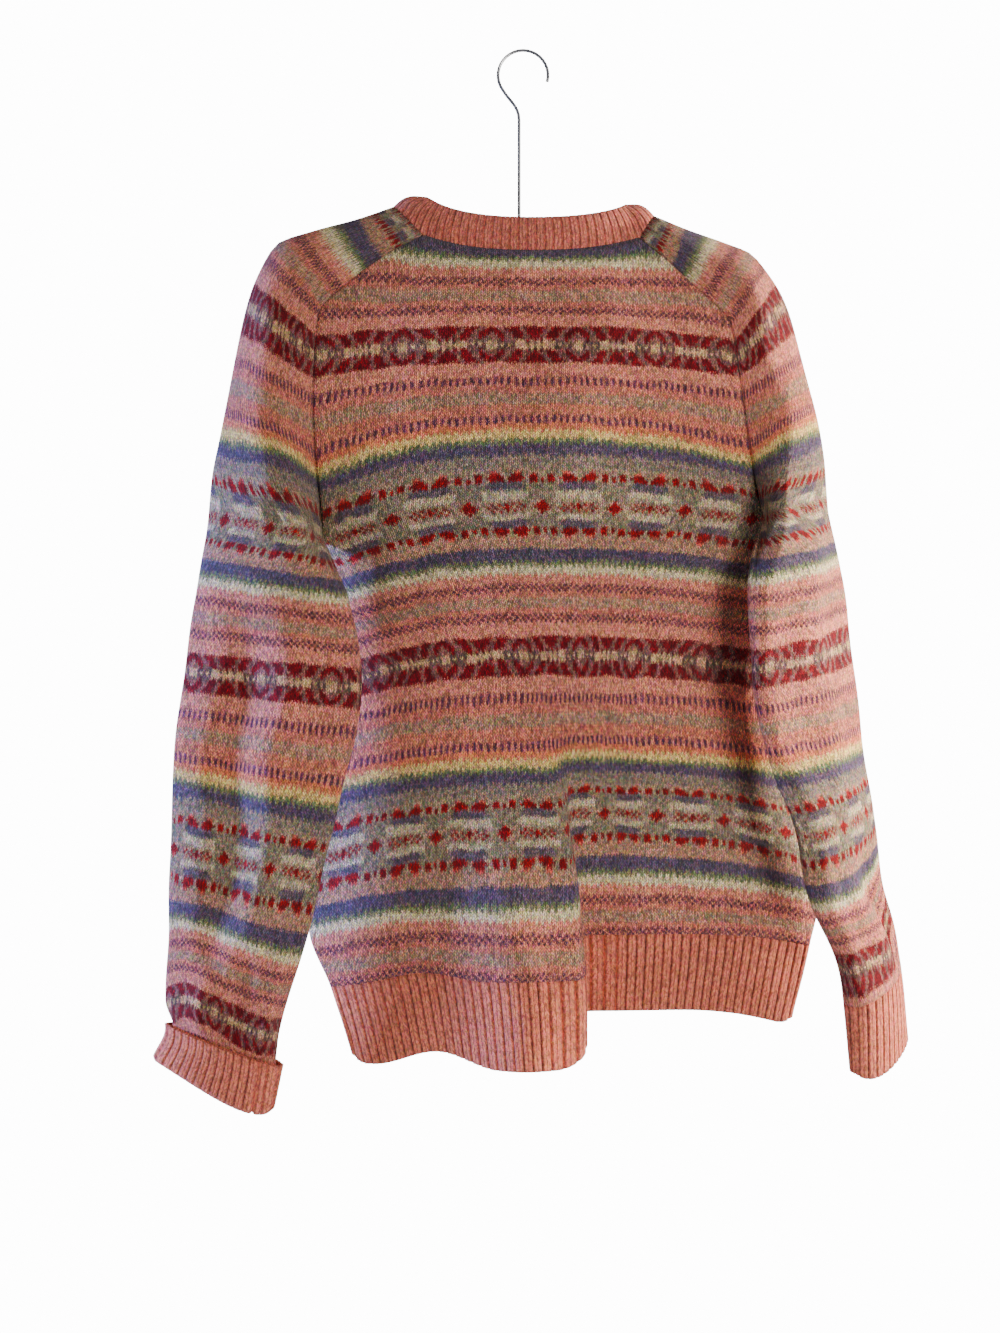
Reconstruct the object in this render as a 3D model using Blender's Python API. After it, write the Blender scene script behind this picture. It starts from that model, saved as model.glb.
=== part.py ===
"""Fair isle jumper on a hanger, seen from its back.

A crew neck pullover of stranded Shetland wool hangs on a plain hanger by a thin wire hook. Its pieces are
those that a knitter makes: back, front, two saddle-topped sleeves, neckband, the two halves of the hem rib,
a turned-back left cuff and a plain right one. Each piece is a knitted wall of even thickness on a smooth
form, and neighbours stop 0.5 mm short of each other at their seams.

Frame: metres, +Z up. The origin is where the hook's inner top rests on a rail. The jumper's back faces -Y,
its front +Y, the wearer's left is at -X and the wearer's right at +X.
"""

import math

import bmesh
import bpy
import numpy as np
from mathutils import Matrix, Vector

MM = 0.001

# Cloth
CLOTH_THICKNESS = 2.4 * MM      # stranded knitting, two yarns thick, lightly felted
RIB_THICKNESS = 3.0 * MM        # ribbed neckband, hem and cuffs
SEAM_GAP = 0.5 * MM             # left open between neighbouring pieces
ARMPIT_GAP = 3.4 * MM           # where four pieces meet at one point

# Counts of knitted rows, from the back of the neck down
ARMPIT_ROW = 108
HEM_SEAM_ROW = 297
HEM_ROW = 335
CUFF_SEAM_ROW = 322
CUFF_ROW = 352

# Faces around each piece
BACK_FACES = 24
FRONT_FACES = 16
SLEEVE_FACES = 14

# How quickly a row droops, and how quickly the cloth rounds away, from its middle to its sides
DROOP_POWER = 2.5
ROUND_POWER = 2.5

# The body, one line for each row of knitting that shapes it, in millimetres.
#  left, right: where the row meets the side seam or the armhole, halfway from back to front
#  spread: how far the back armhole seam lies from the front one
#  back_y, back_z, front_y, front_z: the middle of the row on the back and on the front
BODY_COLUMNS = ("row", "left_x", "left_y", "left_z", "right_x", "right_y", "right_z",
                "spread", "back_y", "back_z", "front_y", "front_z")
BODY_ROWS = (
    (0, -76, 0, -142, 88, 0, -144, 30, -28, -156, 46, -214),
    (6, -102, 0, -157, 108, 0, -162, 42, -33, -166, 48, -219),
    (18, -134, 0, -182, 133, 0, -187, 54, -39, -187, 51, -229),
    (26, -153, 0, -203, 154, 0, -209, 62, -42, -202, 53, -236),
    (42, -156, -2, -238, 159, -2, -239, 70, -46, -230, 55, -249),
    (57, -157, -2, -269, 163, -2, -266, 66, -49, -256, 56, -265),
    (79, -155, 1, -319, 170, 1, -311, 54, -52, -293, 57, -298),
    (98, -153, 3, -350, 177, 3, -335, 26, -54, -326, 58, -329),
    (108, -153, 5, -369, 183, 5, -351, 0, -55, -344, 58, -347),
    (139, -163, 20, -426, 190, 24, -408, 0, -56, -395, 60, -399),
    (177, -167, 22, -495, 194, 28, -472, 0, -57, -460, 62, -464),
    (214, -168, 18, -562, 205, 26, -545, 0, -59, -535, 62, -532),
    (246, -165, 12, -618, 215, 20, -598, 0, -60, -588, 60, -583),
    (274, -162, 2, -668, 225, 12, -646, 0, -60, -647, 56, -630),
    (297, -145, -8, -709, 218, 6, -680, 0, -60, -696, 50, -667),
    (335, -128, -20, -765, 204, 0, -740, 0, -62, -760, 42, -728),
)

# The back's large folds towards the hem. A swell comes forward left of the middle, and at its right side the
# cloth steps back and up to a shelf that runs on to the right seam. A shallow valley lies left of the swell.
FOLD_COLUMNS = ("row", "swell", "step_back", "step_up", "valley_up")
FOLD_ROWS = (
    (190, 0, 0, 0, 0),
    (214, 2, 3, 6, 0),
    (246, 10, 10, 13, 0),
    (274, 18, 20, 23, 2),
    (297, 22, 26, 29, 6),
    (335, 26, 22, 37, 10),
)
SWELL_PLACE, SWELL_HALF_WIDTH = 0.39, 0.19
VALLEY_PLACE, VALLEY_HALF_WIDTH = 0.19, 0.14
STEP_PLACE, STEP_HALF_WIDTH = 0.520, 0.034

# The sleeves' tops, which arch over the shoulders from the back seam to the front one: the outermost point of
# each row, and how far the cloth bellies out behind (near) and in front (far) of a plain arch.
SHOULDER_COLUMNS = ("row", "outer_x", "outer_y", "outer_z", "near", "far")
LEFT_SHOULDER = (
    (0, -98, 0, -119, 2, 2),
    (6, -121, 0, -127, 3, 3),
    (18, -166, 0, -139, 4, 4),
    (22, -185, 0, -146, 5, 4),
    (26, -195, 0, -160, 6, 5),
    (42, -209, -2, -197, 8, 6),
    (57, -217, -4, -236, 13, 7),
    (98, -231, -9, -324, 30, 12),
)
RIGHT_SHOULDER = (
    (0, 99, 0, -126, 2, 2),
    (6, 119, 0, -134, 3, 3),
    (18, 157, 0, -148, 4, 4),
    (22, 171, 0, -154, 5, 4),
    (26, 181, 0, -165, 6, 5),
    (42, 198, 0, -195, 8, 6),
    (57, 208, 0, -233, 14, 7),
    (98, 222, 4, -313, 36, 12),
)

# The sleeves' flattened rings from the upper arm down: their inner and outer ends, and half their depth. Down
# to the armpit they are drawn to the armhole seams, and the arch above turns into them.
ARM_COLUMNS = ("row", "inner_x", "inner_y", "inner_z", "outer_x", "outer_y", "outer_z", "depth")
LEFT_ARM = (
    (57, -180, -38, -256, -217, -4, -236, 16),
    (79, -170, -42, -300, -225, -6, -288, 18),
    (98, -162, -44, -340, -231, -10, -324, 19),
    (108, -156, -45, -364, -234, -14, -347, 19),
    (139, -131, -45, -418, -243, -24, -402, 17),
    (177, -121, -46, -484, -252, -32, -472, 14),
    (214, -137, -47, -563, -259, -34, -543, 14),
    (246, -151, -45, -622, -262, -34, -601, 14),
    (274, -166, -42, -683, -264, -32, -656, 14),
    (312, -184, -36, -743, -266, -28, -716, 13),
    (322, -186, -34, -763, -261, -27, -734, 13),
    (352, -191, -32, -796, -273, -26, -762, 13),
)
RIGHT_ARM = (
    (57, 188, -36, -254, 207, -2, -233, 18),
    (79, 181, -44, -296, 215, 2, -278, 20),
    (98, 177, -53, -334, 221, 6, -313, 21),
    (108, 175, -58, -352, 224, 8, -333, 21),
    (139, 169, -68, -404, 236, 13, -384, 19),
    (177, 169, -73, -470, 246, 12, -449, 18),
    (214, 183, -72, -538, 254, 6, -521, 18),
    (246, 205, -66, -591, 260, 2, -568, 18),
    (274, 216, -60, -643, 265, 0, -617, 18),
    (312, 239, -54, -692, 275, -2, -669, 17),
    (322, 243, -52, -718, 279, -2, -689, 17),
    (352, 246, -48, -768, 287, -2, -746, 15),
)
ARCH_ENDS_ROW, RING_STARTS_ROW = 42, 98     # between them the arch turns into the flattened ring
WEB_ENDS_ROW = 150              # the pull towards the armpit has died away
NEAR_PULL, FAR_PULL = 0.13, 0.5 # how far round the ring, in turns, the seams draw the cloth

# The neckband leans from upright at the middle of the neck to nearly flat on top of the shoulders.
NECKBAND_RISE, NECKBAND_RISE_ON_SHOULDER = 25 * MM, 7 * MM
NECKBAND_LEAN, NECKBAND_LEAN_ON_SHOULDER = 2 * MM, 21 * MM
CORNER_SHARE = 0.4              # how far a raglan corner is on the way from the middle to the shoulder

# The left cuff is folded up over itself and over the end of the sleeve: the rows down its inner layer, and
# the rows up its outer layer with how far that lies outside the sleeve's middle surface, in millimetres.
TURN_DOWN = (322, 332, 342, 350)
TURN_UP = ((352, 2.3), (350, 4.4), (342, 4.8), (333, 5.2), (326, 5.7), (322, 6.2))

# Both cuffs' free edges dip on their back, most of all near their inner ends.
CUFF_DIP = 11 * MM

# Rows of knitting at which each piece has a ring of corners
YOKE_GRID = (0, 6, 12, 18, 22, 26, 34, 42, 57, 79, 90, 98, 108)
BODY_GRID = YOKE_GRID + (120, 139, 158, 177, 196, 214, 232, 246, 260, 274, 286, 297)
HEM_GRID = (297, 306, 316, 326, 335)
SLEEVE_GRID = YOKE_GRID + (114, 122, 139, 158, 177, 196, 214, 232, 246, 260, 274, 293, 312, 322)
RIGHT_CUFF_GRID = (322, 332, 342, 352)

# Hanger
WIRE_RADIUS = 1.2 * MM
HOOK_RADIUS = 19 * MM           # to the middle of the wire
STEM_X = -3 * MM
STEM_TOP_Z = -52 * MM
HUB_Z = -142 * MM
HUB_RADIUS, HUB_HEIGHT = 8 * MM, 16 * MM
ARM_RADIUS = 5 * MM
ARM_GAP = 0.3 * MM
ARM_BEND_X, ARM_BEND_Z = 120 * MM, -140 * MM
ARM_TIP_X, ARM_TIP_Z = 168 * MM, -161 * MM
ARM_CROWN = 3 * MM              # how far each shoulder stretch bows up
HANGER_TILT = math.radians(1.8)  # the wearer's right shoulder hangs lower

COLOURS = {
    "back": (0.36, 0.17, 0.13), "front": (0.36, 0.17, 0.13),
    "sleeve_left": (0.33, 0.17, 0.15), "sleeve_right": (0.34, 0.17, 0.14),
    "neckband": (0.47, 0.16, 0.11), "hem_rib_back": (0.52, 0.19, 0.13), "hem_rib_front": (0.52, 0.19, 0.13),
    "cuff_left": (0.50, 0.19, 0.15), "cuff_right": (0.50, 0.18, 0.12),
    "hanger": (0.82, 0.80, 0.76), "hanger_hook": (0.62, 0.62, 0.63),
}


# ---------------------------------------------------------------- helpers

def clear_scene():
    for found in list(bpy.data.objects):
        bpy.data.objects.remove(found, do_unlink=True)


def new_material(name, roughness, metallic=0.0):
    """A plain finish in the piece's average colour."""
    material = bpy.data.materials.new(name)
    material.use_nodes = True
    shader = material.node_tree.nodes["Principled BSDF"]
    shader.inputs["Base Color"].default_value = (*COLOURS[name], 1.0)
    shader.inputs["Roughness"].default_value = roughness
    shader.inputs["Metallic"].default_value = metallic
    return material


def slopes(keys, values):
    """Slopes that carry a smooth curve through the values with no overshoot."""
    steps = np.diff(keys)
    chords = np.diff(values) / steps
    found = np.zeros(len(keys))
    found[0], found[-1] = chords[0], chords[-1]
    for i in range(1, len(keys) - 1):
        before, after = chords[i - 1], chords[i]
        if before * after > 0:
            heavy, light = 2 * steps[i] + steps[i - 1], steps[i] + 2 * steps[i - 1]
            found[i] = (heavy + light) / (heavy / before + light / after)
    return found


def read_table(columns, rows, column, at):
    """The value of one column at any row of knitting, in the table's own unit."""
    keys = np.array([line[0] for line in rows], float)
    values = np.array([line[columns.index(column)] for line in rows], float)
    rates = slopes(keys, values)
    at = min(max(at, keys[0]), keys[-1])
    i = min(int(np.searchsorted(keys, at, side="right")) - 1, len(keys) - 2)
    step = keys[i + 1] - keys[i]
    t = (at - keys[i]) / step
    start, end = values[i], values[i + 1]
    return (start * (1 + 2 * t) * (1 - t) ** 2 + rates[i] * step * t * (1 - t) ** 2
            + end * t * t * (3 - 2 * t) - rates[i + 1] * step * t * t * (1 - t))


def table_point(columns, rows, prefix, at):
    return np.array([read_table(columns, rows, f"{prefix}_{axis}", at) for axis in "xyz"]) * MM


def ease(t):
    t = min(max(t, 0.0), 1.0)
    return t * t * (3 - 2 * t)


def bump(place, centre, half_width):
    """A smooth hump, 1 at the centre and 0 beyond the half width."""
    return ease(1 - abs(place - centre) / half_width)


# ---------------------------------------------------------------- forms

def side_point(side, row, front):
    """Where a row meets the armhole or the side seam: side is "left" or "right"."""
    point = table_point(BODY_COLUMNS, BODY_ROWS, side, row)
    spread = read_table(BODY_COLUMNS, BODY_ROWS, "spread", row) * MM if row < ARMPIT_ROW else 0.0
    point[1] += spread / 2 if front else -spread / 2
    return point


def body_point(row, place, front=False):
    """A point on the body: place runs from 0 at the left seam to 1 at the right seam."""
    left, right = side_point("left", row, front), side_point("right", row, front)
    side = left if place < 0.5 else right
    name = "front" if front else "back"
    middle_y = read_table(BODY_COLUMNS, BODY_ROWS, f"{name}_y", row) * MM
    middle_z = read_table(BODY_COLUMNS, BODY_ROWS, f"{name}_z", row) * MM
    off_middle = abs(1 - 2 * place)
    x = left[0] + (right[0] - left[0]) * place
    y = middle_y + (side[1] - middle_y) * off_middle ** ROUND_POWER
    z = middle_z + (side[2] - middle_z) * off_middle ** DROOP_POWER
    if not front:
        y, z = add_folds(row, place, y, z)
    return np.array((x, y, z))


def add_folds(row, place, y, z):
    """The back's swell, valley and stepped fold."""
    swell, step_back, step_up, valley_up = (
        read_table(FOLD_COLUMNS, FOLD_ROWS, column, row) * MM for column in FOLD_COLUMNS[1:])
    step = ease((place - STEP_PLACE + STEP_HALF_WIDTH) / (2 * STEP_HALF_WIDTH))
    beyond = max(place - STEP_PLACE, 0.0) / (1 - STEP_PLACE)
    shelf = step * (1 - beyond ** 3)
    y += step_back * shelf - swell * bump(place, SWELL_PLACE, SWELL_HALF_WIDTH)
    z += step_up * shelf + valley_up * bump(place, VALLEY_PLACE, VALLEY_HALF_WIDTH)
    return y, z


def sleeve_point(side, row, turn):
    """A point on a sleeve: turn is 0 at the back seam, 0.5 at the outer fold and 1 at the front seam."""
    mix = ease((row - ARCH_ENDS_ROW) / (RING_STARTS_ROW - ARCH_ENDS_ROW))
    arch = arch_point(side, row, turn) if mix < 1 else np.zeros(3)
    ring = ring_point(side, row, turn) if mix > 0 else np.zeros(3)
    return arch * (1 - mix) + ring * mix


def arch_point(side, row, turn):
    """A half ellipse from the back seam over the outermost point to the front seam."""
    table = LEFT_SHOULDER if side == "left" else RIGHT_SHOULDER
    back_seam, front_seam = side_point(side, row, False), side_point(side, row, True)
    outer = table_point(SHOULDER_COLUMNS, table, "outer", row)
    near, far = (read_table(SHOULDER_COLUMNS, table, name, row) * MM for name in ("near", "far"))
    start = (back_seam + front_seam) / 2
    belly = near * max(math.sin(2 * math.pi * turn), 0.0) - far * max(-math.sin(2 * math.pi * turn), 0.0)
    return (start + (back_seam - start) * math.cos(math.pi * turn)
            + (outer - start) * math.sin(math.pi * turn) + depth_way(side, outer - start) * belly)


def ring_point(side, row, turn):
    """A flattened ring, drawn to the armhole seams at its two ends down to the armpit and a little below."""
    table = LEFT_ARM if side == "left" else RIGHT_ARM
    inner = table_point(ARM_COLUMNS, table, "inner", row)
    outer = table_point(ARM_COLUMNS, table, "outer", row)
    depth = read_table(ARM_COLUMNS, table, "depth", row) * MM
    dip = CUFF_DIP * max((row - CUFF_SEAM_ROW) / (CUFF_ROW - CUFF_SEAM_ROW), 0.0)
    angle = 2 * math.pi * turn
    if angle > math.pi:
        depth *= ease((row - RING_STARTS_ROW) / (WEB_ENDS_ROW - RING_STARTS_ROW))
    point = ((inner + outer) / 2 + (inner - outer) / 2 * math.cos(angle)
             + depth_way(side, outer - inner) * depth * math.sin(angle))
    point[2] -= dip * max(math.sin(angle), 0.0) * (0.4 + 0.6 * math.cos(angle))
    near_share = max(1 - turn / NEAR_PULL, 0.0) ** 2
    far_share = max(1 - (1 - turn) / FAR_PULL, 0.0) ** 1.5
    if row <= ARMPIT_ROW:
        near_pull, far_pull = side_point(side, row, False) - inner, side_point(side, row, True) - inner
    else:
        fade = max(1 - (row - ARMPIT_ROW) / (WEB_ENDS_ROW - ARMPIT_ROW), 0.0) ** 2
        ring_end = table_point(ARM_COLUMNS, table, "inner", ARMPIT_ROW)
        near_pull = far_pull = (side_point(side, ARMPIT_ROW, False) - ring_end) * fade
    return point + near_pull * near_share + far_pull * far_share


def depth_way(side, reach):
    """The level direction across a sleeve, towards the wearer's back."""
    way = np.cross((0, 0, 1), reach) * (1 if side == "left" else -1)
    return way / np.linalg.norm(way)


def neck_loop():
    """Points round the neck seam with how far each is on the way to the top of a shoulder, from 0 to 1."""
    places = [k / BACK_FACES for k in range(BACK_FACES)]
    loop = [(body_point(0, u), CORNER_SHARE * abs(1 - 2 * u) ** 3) for u in places]
    turns = [k / SLEEVE_FACES for k in range(SLEEVE_FACES)]
    over = [CORNER_SHARE + (1 - CORNER_SHARE) * math.sin(math.pi * t) for t in turns]
    loop += [(sleeve_point("right", 0, t), share) for t, share in zip(turns, over)]
    places = [1 - k / FRONT_FACES for k in range(FRONT_FACES)]
    loop += [(body_point(0, u, True), CORNER_SHARE * abs(1 - 2 * u) ** 3) for u in places]
    loop += [(sleeve_point("left", 0, 1 - t), share) for t, share in zip(turns, over)]
    return loop


# ---------------------------------------------------------------- grids of the middle of each wall

def panel_grid(rows, faces, front=False):
    return np.array([[body_point(row, k / faces, front) for k in range(faces + 1)] for row in rows])


def sleeve_grid(side, rows):
    return np.array([[sleeve_point(side, row, k / SLEEVE_FACES) for k in range(SLEEVE_FACES + 1)]
                     for row in rows])


def neckband_grid():
    """Three rings, from the neck seam to the band's free edge."""
    loop = neck_loop()
    seam = np.array([point for point, _ in loop])
    centre = seam.mean(axis=0)
    free = []
    for point, share in loop:
        inward = (centre - point) * (1, 1, 0)
        inward /= np.linalg.norm(inward)
        rise = NECKBAND_RISE + (NECKBAND_RISE_ON_SHOULDER - NECKBAND_RISE) * share ** 3
        lean = NECKBAND_LEAN + (NECKBAND_LEAN_ON_SHOULDER - NECKBAND_LEAN) * share
        free.append(point + inward * lean + np.array((0, 0, rise)))
    rings = [seam + (np.array(free) - seam) * t for t in (0.0, 0.5, 1.0)]
    return close_rings(np.array(rings))


def turned_cuff_grid():
    """Down the inner layer, round the fold and back up outside the end of the sleeve."""
    inner = sleeve_grid("left", TURN_DOWN)
    rows, offsets = zip(*TURN_UP)
    outer = sleeve_grid("left", rows)
    outward = grid_normals(outer, 0)
    return np.concatenate((inner, outer + outward * np.array(offsets)[:, None, None] * MM))


def close_rings(grid):
    return np.concatenate((grid, grid[:, :1]), axis=1)


def grid_normals(grid, joined_from, facing=None):
    """Unit normals by differences along and across a grid, all turned to its outer side."""
    along = np.gradient(grid, axis=0)
    across = np.gradient(grid, axis=1)
    for row in range(joined_from, len(grid)):
        across[row, 0] = across[row, -1] = (grid[row, 1] - grid[row, -2]) / 2
    normals = np.cross(along, across)
    normals /= np.linalg.norm(normals, axis=2, keepdims=True)
    if facing is None:
        facing = grid[0] - grid[0].mean(axis=0)
    return normals if (normals[0] * facing).sum() > 0 else -normals


# ---------------------------------------------------------------- walls

class Piece:
    """A knitted piece: the grid of its middle surface, where its columns join up, and its thickness."""

    def __init__(self, name, grid, thickness, joined_from=None, facing=None):
        self.name, self.grid, self.thickness = name, grid, thickness
        self.joined_from = len(grid) if joined_from is None else joined_from
        self.normals = grid_normals(grid, self.joined_from, facing)

    def joined(self, row):
        return row >= self.joined_from

    def edge_places(self):
        last_row, last_column = len(self.grid) - 1, self.grid.shape[1] - 1
        for row in range(last_row + 1):
            for column in range(last_column + 1):
                side = column in (0, last_column) and row <= self.joined_from
                if row in (0, last_row) or side:
                    yield row, column

    def draw_back_from_seams(self):
        """Moves each edge in by half the seam gap."""
        grid, rows = self.grid, len(self.grid)
        inset = SEAM_GAP / 2
        before = grid.copy()
        for row, inner in ((0, 1), (rows - 1, rows - 2)):
            way = before[inner] - before[row]
            grid[row] += way / np.linalg.norm(way, axis=1, keepdims=True) * inset
        fork = YOKE_GRID.index(ARMPIT_ROW)
        insets = np.full((rows, 1), inset)
        if rows > fork:
            insets[fork - 1:fork + 2] = ARMPIT_GAP / 2
        for column, inner in ((0, 1), (-1, -2)):
            stop = min(self.joined_from, rows)
            way = before[:stop, inner] - before[:stop, column]
            grid[:stop, column] += way / np.linalg.norm(way, axis=1, keepdims=True) * insets[:stop]
        if 0 < self.joined_from < rows:
            outward = before[fork, SLEEVE_FACES // 2] - before[fork, 0]
            outward *= ARMPIT_GAP / np.linalg.norm(outward)
            grid[fork, 0] = grid[fork, -1] = before[fork, 0] + outward + np.array((0, 0, -ARMPIT_GAP))

    def build(self, collection, material):
        """The closed wall: an outer and an inner skin, and a strip along every free edge."""
        rows, columns = self.grid.shape[:2]
        mesh = bmesh.new()
        skins = []
        for side in (0.5, -0.5):
            points = self.grid + self.normals * self.thickness * side
            skin = [[mesh.verts.new(point) for point in line] for line in points]
            for row in range(rows):
                if self.joined(row):
                    mesh.verts.remove(skin[row][-1])
                    skin[row][-1] = skin[row][0]
            skins.append(skin)
        outer, inner = skins
        edges = {}
        for row in range(rows - 1):
            for k in range(columns - 1):
                ring = ((row, k), (row, k + 1), (row + 1, k + 1), (row + 1, k))
                mesh.faces.new([outer[r][c] for r, c in ring])
                mesh.faces.new([inner[r][c] for r, c in reversed(ring)])
                for start, end in zip(ring, ring[1:] + ring[:1]):
                    ends = (outer[start[0]][start[1]], outer[end[0]][end[1]])
                    edges.setdefault(frozenset(ends), []).append((start, end))
        for uses in edges.values():
            if len(uses) == 1:
                (a, b), (c, d) = uses[0]
                mesh.faces.new((outer[c][d], outer[a][b], inner[a][b], inner[c][d]))
        bmesh.ops.recalc_face_normals(mesh, faces=mesh.faces)
        data = bpy.data.meshes.new(self.name)
        mesh.to_mesh(data)
        mesh.free()
        data.shade_smooth()
        data.set_sharp_from_angle(angle=math.radians(50))
        data.materials.append(material)
        built = bpy.data.objects.new(self.name, data)
        collection.objects.link(built)
        return built


def share_normals(pieces):
    """Gives pieces that meet at a seam one normal there, so that their edges stand side by side."""
    def key(point):
        return tuple(np.round(point / (0.01 * MM)).astype(int))

    sums = {}
    for piece in pieces:
        for row, column in piece.edge_places():
            place = key(piece.grid[row, column])
            sums[place] = sums.get(place, 0) + piece.normals[row, column]
    for side in ("left", "right"):
        sums[key(side_point(side, ARMPIT_ROW, False))] = np.array((0.0, 0.0, -1.0))
    for piece in pieces:
        for row, column in piece.edge_places():
            total = sums[key(piece.grid[row, column])]
            piece.normals[row, column] = total / np.linalg.norm(total)


def knitted_pieces():
    fork = YOKE_GRID.index(ARMPIT_ROW)
    back_way, front_way = np.array((0, -1, 0)), np.array((0, 1, 0))
    return [
        Piece("back", panel_grid(BODY_GRID, BACK_FACES), CLOTH_THICKNESS, facing=back_way),
        Piece("front", panel_grid(BODY_GRID, FRONT_FACES, True), CLOTH_THICKNESS, facing=front_way),
        Piece("sleeve_left", sleeve_grid("left", SLEEVE_GRID), CLOTH_THICKNESS, fork),
        Piece("sleeve_right", sleeve_grid("right", SLEEVE_GRID), CLOTH_THICKNESS, fork),
        Piece("neckband", neckband_grid(), RIB_THICKNESS, 0),
        Piece("hem_rib_back", panel_grid(HEM_GRID, BACK_FACES), RIB_THICKNESS, facing=back_way),
        Piece("hem_rib_front", panel_grid(HEM_GRID, FRONT_FACES, True), RIB_THICKNESS, facing=front_way),
        Piece("cuff_left", turned_cuff_grid(), RIB_THICKNESS, 0),
        Piece("cuff_right", sleeve_grid("right", RIGHT_CUFF_GRID), RIB_THICKNESS, 0),
    ]


# ---------------------------------------------------------------- hanger

def tube(name, points, radius, collection, material):
    """A round bar along the points, with closed ends."""
    data = bpy.data.curves.new(name, "CURVE")
    data.dimensions = "3D"
    data.bevel_depth = radius
    data.bevel_resolution = 2
    data.use_fill_caps = True
    spline = data.splines.new("POLY")
    spline.points.add(len(points) - 1)
    for target, point in zip(spline.points, points):
        target.co = (*point, 1.0)
    data.materials.append(material)
    built = bpy.data.objects.new(name, data)
    collection.objects.link(built)
    return built


def hook_route():
    """From the tip over the rail's place, down the far side and into the stem."""
    centre = Vector((0, 0, WIRE_RADIUS - HOOK_RADIUS))
    tip, leave = math.radians(-15), math.radians(216)
    steps = 22
    arc = [tip + (leave - tip) * k / steps for k in range(steps + 1)]
    route = [centre + HOOK_RADIUS * Vector((math.cos(a), 0, math.sin(a))) for a in arc]
    start = route[-1]
    end = Vector((STEM_X, 0, STEM_TOP_Z))
    heading = (route[-1] - route[-2]).normalized() * 10 * MM
    settle = Vector((0, 0, -1)) * 11 * MM
    for k in range(1, 8):
        t = k / 7
        early = (1 - t) ** 3 * start + 3 * t * (1 - t) ** 2 * (start + heading)
        late = 3 * t * t * (1 - t) * (end - settle) + t ** 3 * end
        route.append(early + late)
    route.append(Vector((STEM_X, 0, HUB_Z + HUB_HEIGHT / 2 + ARM_GAP)))
    return route


def arm_route():
    """A bar along the shoulders: level through the hub, then falling to each tip."""
    tip, bend = Vector((ARM_TIP_X, 0, ARM_TIP_Z)), Vector((ARM_BEND_X, 0, ARM_BEND_Z))
    hub = Vector((0, 0, HUB_Z))
    half = [hub.lerp(bend, t / 4) for t in range(4)]
    for k in range(7):
        t = k / 6
        half.append(bend.lerp(tip, t) + Vector((0, 0, ARM_CROWN * math.sin(math.pi * t))))
    mirrored = [Vector((-p.x, p.y, p.z)) for p in reversed(half[1:])]
    tilt = Matrix.Rotation(HANGER_TILT, 3, "Y")
    return [hub + tilt @ (point - hub) for point in mirrored + half]


def build_hanger(collection):
    material = new_material("hanger", 0.5)
    arms = tube("arm_guide", arm_route(), ARM_RADIUS, collection, material)
    graph = bpy.context.evaluated_depsgraph_get()
    bar = bpy.data.meshes.new_from_object(arms.evaluated_get(graph))
    weld = bmesh.new()
    weld.from_mesh(bar)
    bmesh.ops.remove_doubles(weld, verts=weld.verts, dist=0.01 * MM)
    weld.to_mesh(bar)
    weld.free()
    hanger = bpy.data.objects.new("hanger", bar)
    collection.objects.link(hanger)
    bpy.data.objects.remove(arms, do_unlink=True)

    hub_shape = bmesh.new()
    bmesh.ops.create_cone(hub_shape, cap_ends=True, segments=24, radius1=HUB_RADIUS, radius2=HUB_RADIUS * 0.8,
                          depth=HUB_HEIGHT)
    bmesh.ops.translate(hub_shape, verts=hub_shape.verts, vec=(STEM_X, 0, HUB_Z))
    hub_data = bpy.data.meshes.new("hub")
    hub_shape.to_mesh(hub_data)
    hub_shape.free()
    helpers = bpy.data.collections.new("helpers")
    bpy.context.scene.collection.children.link(helpers)
    hub = bpy.data.objects.new("hub", hub_data)
    hub.hide_render = True
    hub.display_type = "WIRE"
    helpers.objects.link(hub)
    join = hanger.modifiers.new("hub", "BOOLEAN")
    join.operation = "UNION"
    join.solver = "EXACT"
    join.object = hub

    tube("hanger_hook", hook_route(), WIRE_RADIUS, collection, new_material("hanger_hook", 0.25, 1.0))


def main():
    clear_scene()
    collection = bpy.data.collections.new("fair_isle_jumper")
    bpy.context.scene.collection.children.link(collection)
    pieces = knitted_pieces()
    share_normals(pieces)
    for piece in pieces:
        piece.draw_back_from_seams()
        piece.build(collection, new_material(piece.name, 0.95))
    build_hanger(collection)


main()
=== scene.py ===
"""Fair isle jumper on a hanger, its looks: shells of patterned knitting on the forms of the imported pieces.

Frame: metres, +Z up. The origin is where the hook's inner top rests on a rail. The jumper's back faces -Y,
its front +Y, the wearer's left is at -X and the wearer's right at +X. Cloth coordinates are rows of knitting
down a piece and a place across it. The map "stitches" on each piece counts stitches across and rows down.
"""

import math

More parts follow.
